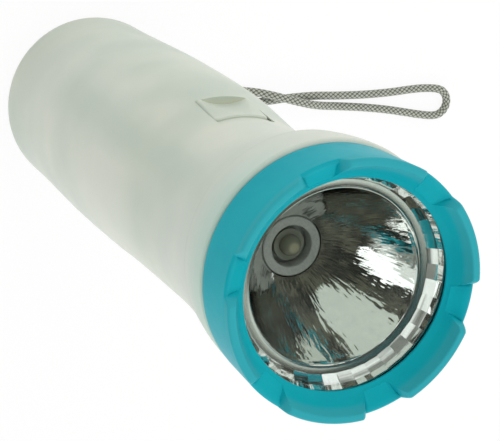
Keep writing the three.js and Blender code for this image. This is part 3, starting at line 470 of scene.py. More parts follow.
def box_piece(name, low, high):
    xs, ys, zs = zip(low, high)
    corners = [(x, y, z) for z in zs for y in ys for x in xs]
    faces = [(0, 2, 3, 1), (4, 5, 7, 6), (0, 1, 5, 4), (2, 6, 7, 3), (0, 4, 6, 2), (1, 3, 7, 5)]
    return add_piece(name, corners, faces, smooth=False)


def fix_barrel_normals(piece):
    """Gives the outer skin the true normals of its profile, so that cuts leave no smears round them."""
    mesh = piece.data
    mesh.polygons.foreach_set("use_smooth", [True] * len(mesh.polygons))
    normals = []
    for polygon in mesh.polygons:
        for index in polygon.vertices:
            point = mesh.vertices[index].co
            normals.append(barrel_normal(point, polygon.normal))
    mesh.normals_split_custom_set(normals)


def barrel_normal(point, flat):
    """The profile's normal at a point of the skin, or the face's own where the two part."""
    height = point.z
    out = Vector((point.x, point.y - lean_at(height), 0))
    if out.length == 0 or height < SLOPE_STEP or height > BARREL_LENGTH - BELL_ROUNDING:
        return flat
    side = out.normalized()
    low, high = height - SLOPE_STEP, height + SLOPE_STEP
    rise = (radius_at(high) - radius_at(low)) / (high - low)
    if abs(height - CREASE_HEIGHT) < 2 * CREASE_STEP:
        rise = 0.0
    shift = (lean_at(high) - lean_at(low)) / (high - low)
    true = Vector((side.x, side.y, -rise - shift * side.y)).normalized()
    return true if true.dot(flat) > SKIN_MATCH else flat


def barrel():
    vertices, faces = capped_grid(barrel_rings(barrel_azimuths()))
    piece = add_piece("barrel_skin", vertices, faces)
    side, back = POCKET_WIDTH / 2, -TAIL_RADIUS + POCKET_DEPTH
    boss = box_piece(
        "boss",
        (-GRIP_RADIUS + BOSS_INSET, -side - BOSS_WALL, FLOOR_THICKNESS / 2),
        (back + BOSS_BACK_WALL, side + BOSS_WALL, POCKET_HEIGHT + BOSS_WALL),
    )
    cut(piece, boss, "UNION")
    pocket = box_piece(
        "pocket",
        (-GRIP_RADIUS - POCKET_MARGIN, -side, -POCKET_MARGIN),
        (back, side, POCKET_HEIGHT),
    )
    cut(piece, pocket)
    reach = APRON_LAP + SWITCH_TRAVEL + APRON_ROOM
    room = skin_plate(
        "apron_room",
        APRON_HALF_WIDTH + APRON_ROOM,
        (WINDOW_BACK - reach, WINDOW_FRONT + reach),
        (APRON_DEPTH - APRON_ROOM, BARREL_WALL + APRON_ROOM_MARGIN),
    )
    cut(piece, room)
    cut(piece, window_cutter())
    fix_barrel_normals(piece)
    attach(piece, "barrel")
    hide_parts("barrel_shell")
    return piece


# Switch knob: its skin follows the barrel's, and a scoop for the thumb runs out towards the head


def skin_plate(name, half_width, span, depths, travel=0.0):
    """A curved plate under the barrel's skin at the switch, clear of the skin all along its travel."""

    def under_skin(x, z, depth):
        places = (z, z + travel / 2, z + travel)
        return max(lean_at(p) - math.sqrt((radius_at(p) - depth) ** 2 - x**2) for p in places)

    across = steps(-half_width, half_width, 24)
    rings = []
    for z in steps(*span, 10):
        ring = []
        for depth, places in ((depths[0], across), (depths[1], across[::-1])):
            ring += [(x, under_skin(x, z, depth), z) for x in places]
        rings.append(ring)
    vertices, faces = capped_grid(rings)
    return add_piece(name, vertices, faces)


def knob_surface(x, z):
    """How far from the axis plane the knob's face stands at a place, towards -Y."""
    start = WINDOW_BACK + KNOB_CLEARANCE + SCOOP_WALL
    end = WINDOW_BACK + KNOB_CLEARANCE + KNOB_LENGTH
    proud = KNOB_PROUD * (1 - ease(clamp((z - start) / (end - start))))
    radius, lean = radius_at(z) + proud, lean_at(z)
    skin = math.sqrt(radius**2 - x**2) - lean
    if z < start:
        return skin
    middle = radius - lean - SCOOP_DEPTH * (1 - (z - start) / (end - start))
    scoop = middle + SCOOP_RADIUS - math.sqrt(SCOOP_RADIUS**2 - x**2)
    return min(skin, scoop)


def knob():
    half = WINDOW_WIDTH / 2 - KNOB_CLEARANCE
    low = WINDOW_BACK + KNOB_CLEARANCE
    high = low + KNOB_LENGTH
    scoop = low + SCOOP_WALL
    corner = WINDOW_CORNER - KNOB_CLEARANCE
    across = steps(-half, half, 44)
    along = steps(low, scoop + SCOOP_ROWS[0], 5)[:-1] + [scoop + row for row in SCOOP_ROWS]
    along += steps(scoop + SCOOP_ROWS[-1], high, 36)[1:]

    def edges(x, z):
        """Distances in from the nearest side and from the nearest end."""
        return half - abs(x), min(z - low, high - z)

    def inset(x, z):
        """Distance in from the knob's outline, which has round corners."""
        dx, dz = edges(x, z)
        if dx < corner and dz < corner:
            return corner - math.hypot(corner - dx, corner - dz)
        return min(dx, dz)

    def rounded(x, z):
        """Moves a grid point in a corner so that the square rows become round ones."""
        dx, dz = edges(x, z)
        if dx >= corner or dz >= corner:
            return x, z
        ax, az = corner - dx, corner - dz
        scale = max(ax, az) / math.hypot(ax, az)
        dx, dz = corner - ax * scale, corner - az * scale
        height = high - dz if high - z < z - low else low + dz
        return math.copysign(half - dx, x), height

    top, bottom = [], []
    for x, z in [rounded(x, z) for z in along for x in across]:
        depth = inset(x, z)
        drop = 0.0
        if depth < KNOB_EDGE:
            drop = KNOB_EDGE - math.sqrt(max(KNOB_EDGE**2 - (KNOB_EDGE - depth) ** 2, 0))
        top.append((x, -(knob_surface(x, z) - drop), z))
        bottom.append((x, -KNOB_FOOT, z))
    rows, columns = len(along), len(across)
    count = rows * columns
    faces = [f[::-1] for f in grid_faces(rows, columns, wrap_columns=False)]
    faces += [tuple(i + count for i in f[::-1]) for f in faces]
    rim = list(range(columns))
    rim += [r * columns + columns - 1 for r in range(1, rows)]
    rim += [(rows - 1) * columns + c for c in range(columns - 2, -1, -1)]
    rim += [r * columns for r in range(rows - 2, 0, -1)]
    for a, b in zip(rim, rim[1:] + rim[:1]):
        faces.append((a, b, b + count, a + count))
    piece = add_piece("thumb_slide", top + bottom, faces)
    slider = box_piece(
        "slider",
        (-SLIDER_HALF_WIDTH, -SLIDER_INSIDE, SLIDER_BACK),
        (SLIDER_HALF_WIDTH, -KNOB_FOOT + SLIDER_LAP, SLIDER_FRONT),
    )
    cut(piece, slider, "UNION")
    depths = (APRON_DEPTH, APRON_DEPTH + APRON_THICKNESS)
    front = (high - SCOOP_WALL / 2, WINDOW_FRONT + APRON_LAP)
    back = (WINDOW_BACK - APRON_LAP - SWITCH_TRAVEL, low + SCOOP_WALL / 2)
    for name, span in (("front_apron", front), ("back_apron", back)):
        cut(piece, skin_plate(name, APRON_HALF_WIDTH, span, depths, SWITCH_TRAVEL), "UNION")
    smooth_by_angle(piece, 38)
    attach(piece, "switch")
    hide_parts("switch_knob")
    return piece


# Bezel ring


def bezel_azimuths():
    """Each azimuth with the height that the rim is cut down to there."""
    out = []
    foot, top = NOTCH_FOOT_WIDTH / 2, NOTCH_TOP_WIDTH / 2
    step = TURN / NOTCH_COUNT
    lobe = step * BEZEL_FRONT_RADIUS - NOTCH_TOP_WIDTH
    for i in range(NOTCH_COUNT):
        middle = NOTCH_AZIMUTH + i * step
        out += [(middle, d, NOTCH_FOOT) for d in steps(-foot, foot, 8)]
        for side in (-1, 1):
            for t in steps(0.0, 1.0, 15)[1:]:
                height = mix(NOTCH_FOOT, RIM_TOP, mix(t, ease(t), 0.75))
                out.append((middle, side * mix(foot, top, t), height))
        out += [(middle, top + d, RIM_TOP) for d in steps(0.0, lobe, 27)[1:-1]]
    return sorted((m + d / BEZEL_FRONT_RADIUS, height) for m, d, height in out)


def bezel_outline(cut_height):
    """The ring's section where its rim is cut down to a height, outer side first."""
    seal_pocket = SPIGOT_RADIUS + 2 * GAP + 2 * NECK_SEAL_RADIUS
    sliver = 0.00006
    rim_inner = BEZEL_FRONT_RADIUS - RIM_THICKNESS

    def outer_radius(height):
        share = (height - BEZEL_BACK) / (RIM_TOP - BEZEL_BACK)
        return mix(BEZEL_BACK_RADIUS, BEZEL_FRONT_RADIUS, share)

    def inner_radius(height):
        share = clamp((height - LIP_TOP) / (RIM_TOP - LIP_TOP))
        return mix(BEZEL_OPENING, rim_inner, share**RIM_BOW)

    def cone_radius(height):
        share = (height - NOTCH_FOOT) / (NOTCH_EDGE - NOTCH_FOOT)
        return mix(BEZEL_OPENING, BEZEL_FRONT_RADIUS, share)

    top = max(cut_height, NOTCH_EDGE)
    shelf = max(cut_height, NOTCH_SHELF)
    round_back = (BEZEL_BACK_RADIUS - BEZEL_BACK_EDGE, BEZEL_BACK + BEZEL_BACK_EDGE)
    points = [(seal_pocket, BEZEL_BACK)]
    points += arc(round_back, BEZEL_BACK_EDGE, -90, 0, 4)
    points += [(outer_radius(h), h) for h in steps(BEZEL_SIDE_FOOT, NOTCH_EDGE - 2 * BEZEL_EDGE, 7)]
    points += arc((outer_radius(top) - BEZEL_EDGE, top - BEZEL_EDGE), BEZEL_EDGE, 0, 90, 6)
    brink = outer_radius(top) - BEZEL_EDGE - sliver
    start = max(min(cone_radius(shelf), brink - sliver), inner_radius(shelf) + sliver)
    points += [(mix(brink, start, t), mix(top, shelf, t)) for t in (0.0, 0.34, 0.67, 1.0)]
    curl = mix(*LIP_CURLS, clamp((cut_height - NOTCH_EDGE) / (RIM_TOP - NOTCH_EDGE)))
    points += arc((inner_radius(shelf - curl) + curl, shelf - curl), curl, 85, 160, 4)
    points += [(inner_radius(h), h) for h in steps(shelf - 1.2 * curl, LIP_TOP, 7)[1:]]
    points += [(BEZEL_OPENING - LIP_SWELL, mix(LIP_TOP, LIP_UNDERSIDE, 0.5))]
    points += [(BEZEL_OPENING, LIP_UNDERSIDE), (LENS_CHAMBER_RADIUS, LIP_UNDERSIDE)]
    points += [(LENS_CHAMBER_RADIUS, LENS_CHAMBER_FOOT), (BEZEL_BORE, BEZEL_BORE_TOP)]
    points += [(BEZEL_BORE, NECK_SEAL_TOP), (seal_pocket, NECK_SEAL_TOP)]
    return points


def bezel():
    rings = []
    for azimuth, height in bezel_azimuths():
        across, along = math.cos(azimuth), math.sin(azimuth)
        rings.append([(r * across, r * along, h) for r, h in bezel_outline(height)])
    vertices = [p for ring in rings for p in ring]
    faces = grid_faces(len(rings), len(rings[0]), wrap_rows=True)
    piece = add_piece("bezel_skin", vertices, [f[::-1] for f in faces])
    smooth_by_angle(piece, 42)
    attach(piece, "bezel")
    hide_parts("bezel_ring")
    return piece


# Reflector


def bowl_radius(height):
    rise = height - THROAT_TOP
    stretch = (BOWL_RADIUS**2 - THROAT_RADIUS**2) / (BOWL_TOP - THROAT_TOP)
    return math.sqrt(THROAT_RADIUS**2 + stretch * rise)


def reflector():
    rng = random.Random(7)
    half = math.pi / FACET_COUNT
    spread = [t * half for t in (-0.995, -0.8, -0.5, -0.2, 0.2, 0.5, 0.8, 0.995)]
    tilts = [rng.uniform(-1, 1) * FACET_TILT for _ in range(FACET_COUNT)]
    places = [(i, 2 * i * half + d, d) for i in range(FACET_COUNT) for d in spread]

    def ring(radius, height, facet=0.0, tilt=0.0):
        """A circle, or with facet at 1 a ring of flats, each pushed in by its own tilt."""
        out = []
        for i, azimuth, local in places:
            reach = radius * mix(1.0, math.cos(half) / math.cos(local), facet) + tilts[i] * tilt
            out.append((reach * math.cos(azimuth), reach * math.sin(azimuth), height))
        return out

    rings = [ring(THROAT_RADIUS, THROAT_BOTTOM)]
    for height in steps(THROAT_BOTTOM, THROAT_TOP, 3)[1:]:
        rings.append(ring(THROAT_RADIUS, height))
    for t in steps(0, 1, 70)[1:]:
        height = mix(THROAT_TOP, BOWL_TOP, t)
        rings.append(ring(bowl_radius(height), height))
    for radius, rise in LEDGE:
        rings.append(ring(BOWL_RADIUS + radius, BOWL_TOP + rise))
    rings.append(ring(BAND_FOOT_RADIUS - GROOVE_WIDTH, BOWL_TOP + GROOVE_RISE, 1.0, 1.0))
    for width, rise in FACET_SECTION:
        tilt = 1 - 2 * rise / (FLANGE_TOP - BAND_FOOT)
        rings.append(ring(BAND_FOOT_RADIUS + width, BAND_FOOT + rise, 1.0, tilt))
    flange, under = SPIGOT_RADIUS - GAP, FLANGE_TOP - FLANGE_THICKNESS
    skirt = SPIGOT_BORE - GAP
    rings += [ring(flange, FLANGE_TOP), ring(flange, under)]
    rings += [ring(skirt, under), ring(skirt, under - REFLECTOR_WALL / 2)]
    rings.append(ring(BAND_FOOT_RADIUS + REFLECTOR_WALL / 2, BOWL_TOP - REFLECTOR_WALL))
    for t in steps(0.92, 0.12, 12):
        height = mix(THROAT_TOP, BOWL_TOP, t)
        rings.append(ring(bowl_radius(height) + REFLECTOR_WALL, height - REFLECTOR_WALL / 2))
    rings.append(ring(REFLECTOR_NECK, THROAT_TOP))
    rings.append(ring(REFLECTOR_NECK, THROAT_BOTTOM))
    vertices = [p for r in rings for p in r]
    faces = grid_faces(len(rings), len(places), wrap_rows=True)
    piece = add_piece("reflector_skin", vertices, [f[::-1] for f in faces])
    smooth_by_angle(piece, 7)
    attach(piece, "lamp_module")
    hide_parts("reflector")
    return piece


# LED and its collar


def led_collar():
    low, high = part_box("led_collar")
    outer = THROAT_RADIUS - GAP
    shoulder = high.z - COLLAR_EDGE
    outline = [(COLLAR_BORE, low.z), (outer, low.z)]
    outline += arc((outer - COLLAR_EDGE, shoulder), COLLAR_EDGE, 0, 90, 4)
    outline += arc((COLLAR_BORE + COLLAR_EDGE, shoulder), COLLAR_EDGE, 90, 180, 4)
    piece = turned_ring("collar_skin", list(reversed(outline)), even_azimuths(96))
    smooth_by_angle(piece, 40)
    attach(piece, "lamp_module")
    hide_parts("led_collar")
    return piece


def led_dome():
    low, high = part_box("led_dome")
    step = high.z - low.z - LED_DOME_RADIUS
    outline = [(LED_DOME_CORE, low.z), (LED_DOME_RADIUS, low.z), (LED_DOME_RADIUS, low.z + step)]
    outline += arc((0, low.z + step), LED_DOME_RADIUS, 6, 88, 16)
    piece = turned_solid("dome_skin", outline, even_azimuths(64))
    smooth_by_angle(piece, 40)
    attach(piece, "lamp_module")
    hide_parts("led_dome")
    return piece


# Cord


def smooth_route(points, spacing):
    """A centripetal Catmull-Rom curve through the points, sampled at an even spacing."""
    points = [Vector(p) for p in points]
    ends = [2 * points[0] - points[1], *points, 2 * points[-1] - points[-2]]
    fine = []
    for i in range(1, len(ends) - 2):
        p0, p1, p2, p3 = ends[i - 1 : i + 3]
        t1 = (p1 - p0).length ** 0.5
        t2 = t1 + (p2 - p1).length ** 0.5
        t3 = t2 + (p3 - p2).length ** 0.5
        for k in range(24):
            t = mix(t1, t2, k / 24)
            a1 = p0 * ((t1 - t) / t1) + p1 * (t / t1)
            a2 = p1 * ((t2 - t) / (t2 - t1)) + p2 * ((t - t1) / (t2 - t1))
            a3 = p2 * ((t3 - t) / (t3 - t2)) + p3 * ((t - t2) / (t3 - t2))
            b1 = a1 * ((t2 - t) / t2) + a2 * (t / t2)
            b2 = a2 * ((t3 - t) / (t3 - t1)) + a3 * ((t - t1) / (t3 - t1))
            fine.append(b1 * ((t2 - t) / (t2 - t1)) + b2 * ((t - t1) / (t2 - t1)))
    fine.append(points[-1])
    along = [0.0]
    for a, b in zip(fine, fine[1:]):
        along.append(along[-1] + (b - a).length)
    count = max(2, round(along[-1] / spacing))
    out, k = [], 0
    for i in range(count + 1):
        want = along[-1] * i / count
        while k < len(along) - 2 and along[k + 1] < want:
            k += 1
        t = (want - along[k]) / max(along[k + 1] - along[k], 1e-12)
        out.append(fine[k].lerp(fine[k + 1], clamp(t)))
    return out, along[-1]


def braid_height(around, along):
    """Height of the braid's strands, 0 to 1, at a turn round the cord and a distance along it."""
    u = around * BRAID_STRANDS
    v = along / BRAID_PITCH * BRAID_STRANDS
    first, second = u + v, u - v
    over = (math.floor(first) + math.floor(second)) % 2 == 0
    t = (first if over else second) % 1.0
    s = (second if over else first) % 1.0
    crown = 1 - (2 * t - 1) ** 2
    dip = 1 - 0.55 * abs(2 * s - 1) ** 3
    return math.sqrt(max(crown, 0.0)) * dip


def braided_tube(name, route, spacing, sides):
    points, length = smooth_route(route, spacing)
    rings, shades = [], []
    normal = Vector((0, 0, 1))
    for i, point in enumerate(points):
        before, after = points[max(i - 1, 0)], points[min(i + 1, len(points) - 1)]
        tangent = (after - before).normalized()
        normal = (normal - tangent * normal.dot(tangent)).normalized()
        side = tangent.cross(normal)
        along = length * i / (len(points) - 1)
        ring = []
        for k in range(sides):
            height = braid_height(k / sides, along)
            radius = CORD_RADIUS - BRAID_RELIEF * (1 - height)
            angle = TURN * k / sides
            ring.append(point + radius * (math.cos(angle) * normal + math.sin(angle) * side))
            shades.append(height)
        rings.append(ring)
    vertices, faces = capped_grid(rings)
    piece = add_piece(name, vertices, [f[::-1] for f in faces])
    shade = piece.data.attributes.new("braid", "FLOAT", "POINT")
    shade.data.foreach_set("value", shades)
    return piece, points, length


def hitch_route():
    """The cord's turn round the bar, between its two ends at the pocket's mouth."""
    bar_x, bar_z = -(TAIL_RADIUS - BAR_INSET), POCKET_HEIGHT / 2
    bend = BAR_RADIUS + GAP + CORD_RADIUS
    mouth = STRAP_ROUTE[0][0] + GAP / 2
    middle = (mouth + bar_x) / 2
    points = [(mouth, 0, bar_z + bend), (middle, 0, bar_z + bend)]
    for angle in steps(math.pi / 2, -math.pi / 2, 8):
        points.append((bar_x + bend * math.cos(angle), 0, bar_z + bend * math.sin(angle)))
    return points + [(middle, 0, bar_z - bend), (mouth, 0, bar_z - bend)]


def strap():
    spacing, sides = FULL_BRAID
    loop, path, length = braided_tube("wrist_cord", STRAP_ROUTE, spacing, sides)
    turn, _, _ = braided_tube("cord_hitch", hitch_route(), spacing, sides)
    for piece, node in ((loop, "strap_cord"), (turn, "strap_hitch")):
        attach(piece, "barrel")
        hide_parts(node)
    [tuple(p) for p in path[:: max(1, len(path) // 300)]] + [tuple(path[-1])]
    return [loop, turn]


# Shader maths


class Value:
    """A shader socket that takes part in sums, so that an expression adds its Math nodes."""

    def __init__(self, finish, socket):
        self.finish = finish
        self.socket = socket

    def __add__(self, other):
        return self.finish.math("ADD", self, other)

    __radd__ = __add__

    def __sub__(self, other):
        return self.finish.math("SUBTRACT", self, other)

    def __rsub__(self, other):
        return self.finish.math("SUBTRACT", other, self)

    def __mul__(self, other):
        return self.finish.math("MULTIPLY", self, other)

    __rmul__ = __mul__

    def __truediv__(self, other):
        return self.finish.math("DIVIDE", self, other)

    def clamped(self):
        return self.finish.math("MINIMUM", self.finish.math("MAXIMUM", self, 0.0), 1.0)


class Finish:
    """Builds one node tree: a material's, or the world's."""

    def __init__(self, owner):
        owner.use_nodes = True
        self.owner = owner
        self.tree = owner.node_tree
        self.tree.nodes.clear()

    def node(self, kind, settings=None, values=None):
        """Adds a node of a kind, sets its settings, then its sockets' values or links."""
        made = self.tree.nodes.new(kind)
        for key, value in (settings or {}).items():
            setattr(made, key, value)
        for key, value in (values or {}).items():
            self.feed(made.inputs[key], value)
        return made

    def feed(self, socket, value):
        if isinstance(value, Value):
            self.tree.links.new(value.socket, socket)
        elif isinstance(value, bpy.types.NodeSocket):
            self.tree.links.new(value, socket)
        elif socket.type == "RGBA" and len(value) == 3:
            socket.default_value = (*value, 1.0)
        else:
            socket.default_value = value

    def math(self, operation, *values):
        made = self.node("ShaderNodeMath", {"operation": operation})
        for socket, value in zip(made.inputs, values):
            self.feed(socket, value)
        return Value(self, made.outputs[0])

    def place(self):
        return self.node("ShaderNodeTexCoord").outputs["Object"]

    def part_of(self, vector):
        split = self.node("ShaderNodeSeparateXYZ", values={"Vector": vector})
        return [Value(self, split.outputs[axis]) for axis in "XYZ"]

    def vector(self, x, y, z):
        return self.node("ShaderNodeCombineXYZ", values={"X": x, "Y": y, "Z": z}).outputs[0]

    def noise(self, scale, detail=3.0, roughness=0.5, vector=None, distortion=0.0):
        values = {"Scale": scale, "Detail": detail, "Roughness": roughness, "Distortion": distortion}
        values["Vector"] = vector or self.place()
        made = self.node("ShaderNodeTexNoise", values=values)
        return Value(self, made.outputs["Fac"])

    def ramp(self, value, low, high):
        """0 where a value is under low, 1 over high, and smooth between."""
        settings = {"interpolation_type": "SMOOTHSTEP"}
        values = {"Value": value, "From Min": low, "From Max": high}
        return Value(self, self.node("ShaderNodeMapRange", settings, values).outputs["Result"])

    def tint(self, factor, first, second):
        made = self.node("ShaderNodeMix", {"data_type": "RGBA"})
        self.feed(made.inputs["Factor"], factor)
        self.feed(made.inputs[6], first)
        self.feed(made.inputs[7], second)
        return made.outputs[2]

    def bump(self, height, strength, distance):
        values = {"Height": height, "Strength": strength, "Distance": distance}
        return self.node("ShaderNodeBump", values=values).outputs["Normal"]

    def plastic(self, **values):
        values = {key.replace("_", " "): value for key, value in values.items()}
        return self.node("ShaderNodeBsdfPrincipled", values=values).outputs[0]

    def show(self, shader):
        world = isinstance(self.owner, bpy.types.World)
        kind = "ShaderNodeOutputWorld" if world else "ShaderNodeOutputMaterial"
        self.feed(self.node(kind).inputs["Surface"], shader)
        return self.owner


def new_finish(name):
    return Finish(bpy.data.materials.new(name))


# Materials


def milky_plastic(name, scoop_shade_tone):
    """The barrel's plastic; the thumb slide's one carries a painted shade tint, warmer and lighter than
    the base, on the shaded back wall at the foot of its scoop.
    """
    f = new_finish(name)
    x, y, z = f.part_of(f.place())
    cloud = f.noise(26.0, detail=2.5)
    warm = f.noise(13.0, detail=1.5, distortion=0.4)
    base = f.tint(f.ramp(cloud, 0.34, 0.66), (0.465, 0.525, 0.46), (0.60, 0.625, 0.545))
    base = f.tint(f.ramp(warm, 0.38, 0.68) * 0.6, base, (0.58, 0.61, 0.565))
    azimuth = f.math("ARCTAN2", y, x)
    # Painted shade: a darker band along the barrel's length, down the side that faces the camera
    turn_from_band = f.math("ABSOLUTE", azimuth - SHADED_BAND_AZIMUTH + 0.25 * (f.noise(40.0) - 0.5))
    shaded_band = (1 - f.ramp(turn_from_band, 0.03, 0.34)) * f.ramp(z, 0.03, 0.075) * (1 - f.ramp(z, 0.145, 0.168))
    base = f.tint(shaded_band * 0.55, base, (0.42, 0.50, 0.435))
    # Painted shade: darker near the tail on the -Y side, where less light falls
    tail_shade = (1 - f.ramp(z, 0.006, 0.045)) * f.ramp(0 - y, 0.004, 0.02)
    base = f.tint(tail_shade * 0.55, base, (0.40, 0.46, 0.39))
    # Painted bounce light: a turquoise cast from the bezel ring on the +X side, growing towards the ring
    ring_bounce = f.ramp(z, CREASE_HEIGHT, BEZEL_BACK) * f.ramp(x, 0.004, 0.026)
    base = f.tint(ring_bounce * 0.4, base, (0.34, 0.60, 0.53))
    # Painted shade tint: the scoop's back wall and a strip past its foot, warmer and lighter than the
    # base, set how the shade there looks
    if scoop_shade_tone:
        foot = WINDOW_BACK + KNOB_CLEARANCE + SCOOP_WALL
        shade = f.ramp(z, foot - KNOB_CLEARANCE, foot) * (1 - f.ramp(z, foot, foot + SCOOP_SHADE_WIDTH))
        base = f.tint(shade * 0.5, base, (0.62, 0.62, 0.47))
    grain = f.noise(2600.0, detail=2.0)
    broad = f.noise(160.0, detail=2.0)
    normal = f.bump(grain * 0.25 + broad, 0.35, 0.00005)
    shader = f.plastic(
        Base_Color=base,
        Roughness=0.36 + 0.1 * f.noise(300.0),
        Normal=normal,
        Subsurface_Weight=0.3,
        Subsurface_Radius=(1.0, 1.0, 0.9),
        Subsurface_Scale=0.0009,
        IOR=1.49,
    )
    return f.show(shader)


def turquoise_plastic():
    f = new_finish("turquoise_plastic")
    cloud = f.noise(60.0, detail=3.0)
    z = f.part_of(f.place())[2]
    base = f.tint(f.ramp(cloud, 0.3, 0.7), (0.003, 0.325, 0.40), (0.006, 0.357, 0.425))
    # Painted sheen: a paler tint on the rim's raised tops, above the notches' edge
    front = f.ramp(z, NOTCH_EDGE - 0.0006, NOTCH_EDGE + 0.001)
    base = f.tint(front * 0.6, base, (0.05, 0.345, 0.40))
    scuffs = f.noise(420.0, detail=4.0, roughness=0.65)
    shader = f.plastic(
        Base_Color=base,
        Roughness=0.26 + 0.16 * scuffs,
        Normal=f.bump(f.noise(900.0, detail=3.0), 0.2, 0.00003),
        Specular_IOR_Level=0.06,
        IOR=1.35,
    )
    return f.show(shader)


def rippled_chrome():
    f = new_finish("rippled_chrome")
    x, y, z = f.part_of(f.place())
    azimuth = f.math("ARCTAN2", y, x)
    radius = f.math("SQRT", x * x + y * y)
    fine = f.noise(1.0, detail=1.0, vector=f.vector(azimuth * 15.0, radius * 260.0, z * 200.0))
    broad = f.noise(1.0, detail=1.0, vector=f.vector(azimuth * 5.0, radius * 260.0, z * 60.0))
    bowl = 1 - f.ramp(radius, BOWL_RADIUS - 0.0006, BOWL_RADIUS)
    ledge = f.ramp(radius, BOWL_RADIUS + 0.00015, BOWL_RADIUS + 0.0003)
    ledge = ledge * (1 - f.ramp(radius, BAND_FOOT_RADIUS - 0.0001, BAND_FOOT_RADIUS))
    shader = f.plastic(
        Base_Color=f.tint(f.noise(500.0), (0.80, 0.81, 0.79), (0.88, 0.89, 0.87)),
        Metallic=1.0,
        Roughness=0.015 + 0.02 * f.noise(900.0) + 0.2 * ledge,
        Normal=f.bump((fine * 0.8 + broad * 0.7) * bowl, 1.0, 0.0001),
    )
    return f.show(shader)


def grey_plastic():
    f = new_finish("grey_plastic")
    speck = f.noise(1800.0, detail=4.0, roughness=0.7)
    base = f.tint(f.ramp(speck, 0.3, 0.7), (0.38, 0.40, 0.37), (0.48, 0.50, 0.46))
    shader = f.plastic(
        Base_Color=base,
        Roughness=0.48 + 0.2 * speck,
        Normal=f.bump(speck, 0.3, 0.00003),
    )
    return f.show(shader)


def white_plastic():
    f = new_finish("white_plastic")
    cloud = f.noise(120.0)
    base = f.tint(cloud, (0.70, 0.70, 0.66), (0.80, 0.80, 0.77))
    shader = f.plastic(Base_Color=base, Roughness=0.35 + 0.1 * f.noise(500.0))
    return f.show(shader)


def led_package():
    f = new_finish("led_package")
    cloud = f.noise(350.0)
    base = f.tint(cloud, (0.21, 0.22, 0.175), (0.26, 0.27, 0.21))
    shader = f.plastic(Base_Color=base, Roughness=0.4 + 0.1 * cloud)
    return f.show(shader)


def phosphor():
    f = new_finish("phosphor")
    x, y = f.part_of(f.place())[:2]
    radius = f.math("SQRT", x * x + y * y)
    centre = 1 - f.ramp(radius, 0.0009, 0.0017)
    speck = f.noise(3000.0)
    base = f.tint(centre, (0.21, 0.215, 0.16), f.tint(speck, (0.34, 0.33, 0.22), (0.40, 0.39, 0.26)))
    shader = f.plastic(Base_Color=base, Roughness=0.12, Coat_Weight=1.0, Coat_Roughness=0.03)
    return f.show(shader)


def clear_window():
    f = new_finish("clear_window")
    f.owner.surface_render_method = "BLENDED"
    see = f.node("ShaderNodeBsdfTransparent", values={"Color": (0.97, 0.985, 0.98)}).outputs[0]
    shine = f.node("ShaderNodeBsdfGlossy", values={"Roughness": 0.03}).outputs[0]
    edge = Value(f, f.node("ShaderNodeFresnel", values={"IOR": 1.49}).outputs[0])
    both = f.node("ShaderNodeMixShader")
    smear = f.noise(90.0)
    inside = Value(f, f.node("ShaderNodeNewGeometry").outputs["Backfacing"])
    f.feed(both.inputs[0], edge * (0.55 + 0.2 * smear) * (1 - inside))
    f.feed(both.inputs[1], see)
    f.feed(both.inputs[2], shine)
    return f.show(both.outputs[0])


def metal(name, dark, light, roughness, lines):
    """A metal with fine lines along one axis, as rolled or drawn stock has."""
    f = new_finish(name)
    x, y, z = f.part_of(f.place())
    stretched = f.vector(x * lines[0], y * lines[1], z * lines[2])
    drawn = f.noise(1.0, detail=4.0, vector=stretched)
    shader = f.plastic(
        Base_Color=f.tint(drawn, dark, light),
        Metallic=1.0,
        Roughness=roughness + 0.15 * drawn,
        Normal=f.bump(drawn, 0.2, 0.00003),
    )
    return f.show(shader)


def rubber(name, dark, light):
    f = new_finish(name)
    bloom = f.noise(700.0, detail=4.0)
    base = f.tint(bloom, dark, light)
    shader = f.plastic(Base_Color=base, Roughness=0.7 + 0.15 * bloom, Normal=f.bump(bloom, 0.3, 0.00004))
    return f.show(shader)


def cell_jacket():
    f = new_finish("cell_jacket")
    bands = f.ramp(f.noise(35.0), 0.45, 0.55)
    base = f.tint(bands, (0.035, 0.045, 0.055), (0.05, 0.06, 0.07))
    shader = f.plastic(Base_Color=base, Roughness=0.3 + 0.1 * f.noise(200.0), Coat_Weight=0.4)
    return f.show(shader)


def cell_paste():
    f = new_finish("cell_paste")
    grain = f.noise(1500.0, detail=5.0)
    base = f.tint(grain, (0.012, 0.012, 0.012), (0.05, 0.048, 0.045))
    shader = f.plastic(Base_Color=base, Roughness=0.9, Normal=f.bump(grain, 0.6, 0.0001))
    return f.show(shader)


def resistor_body():
    f = new_finish("resistor_body")
    x = f.part_of(f.place())[0]
    stripe = f.ramp(f.math("SINE", x * 2600.0), 0.55, 0.75)
    base = f.tint(stripe, (0.50, 0.34, 0.20), (0.16, 0.05, 0.03))
    shader = f.plastic(Base_Color=base, Roughness=0.4 + 0.1 * f.noise(800.0))
    return f.show(shader)


def grey_braid():
    f = new_finish("grey_braid")
    height = Value(f, f.node("ShaderNodeAttribute", {"attribute_name": "braid"}).outputs["Fac"])
    fibre = f.noise(5200.0, detail=3.0)
    # Random tone along the strands' crowns; its palest flecks are painted highlights
    thread = f.noise(900.0, detail=2.0)
    crown = f.tint(thread, (0.33, 0.345, 0.295), (0.56, 0.58, 0.51))
    # Painted shade: the braid is dark where the strands dip between each other and light on their crowns
    base = f.tint(f.ramp(height, 0.4, 0.95), (0.07, 0.075, 0.063), crown)
    shader = f.plastic(
        Base_Color=base,
        Roughness=0.72 + 0.15 * fibre,
        Normal=f.bump(fibre, 0.5, 0.00006),
        Sheen_Weight=0.35,
        Sheen_Roughness=0.5,
    )
    return f.show(shader)


# Set: floor, world and lamps


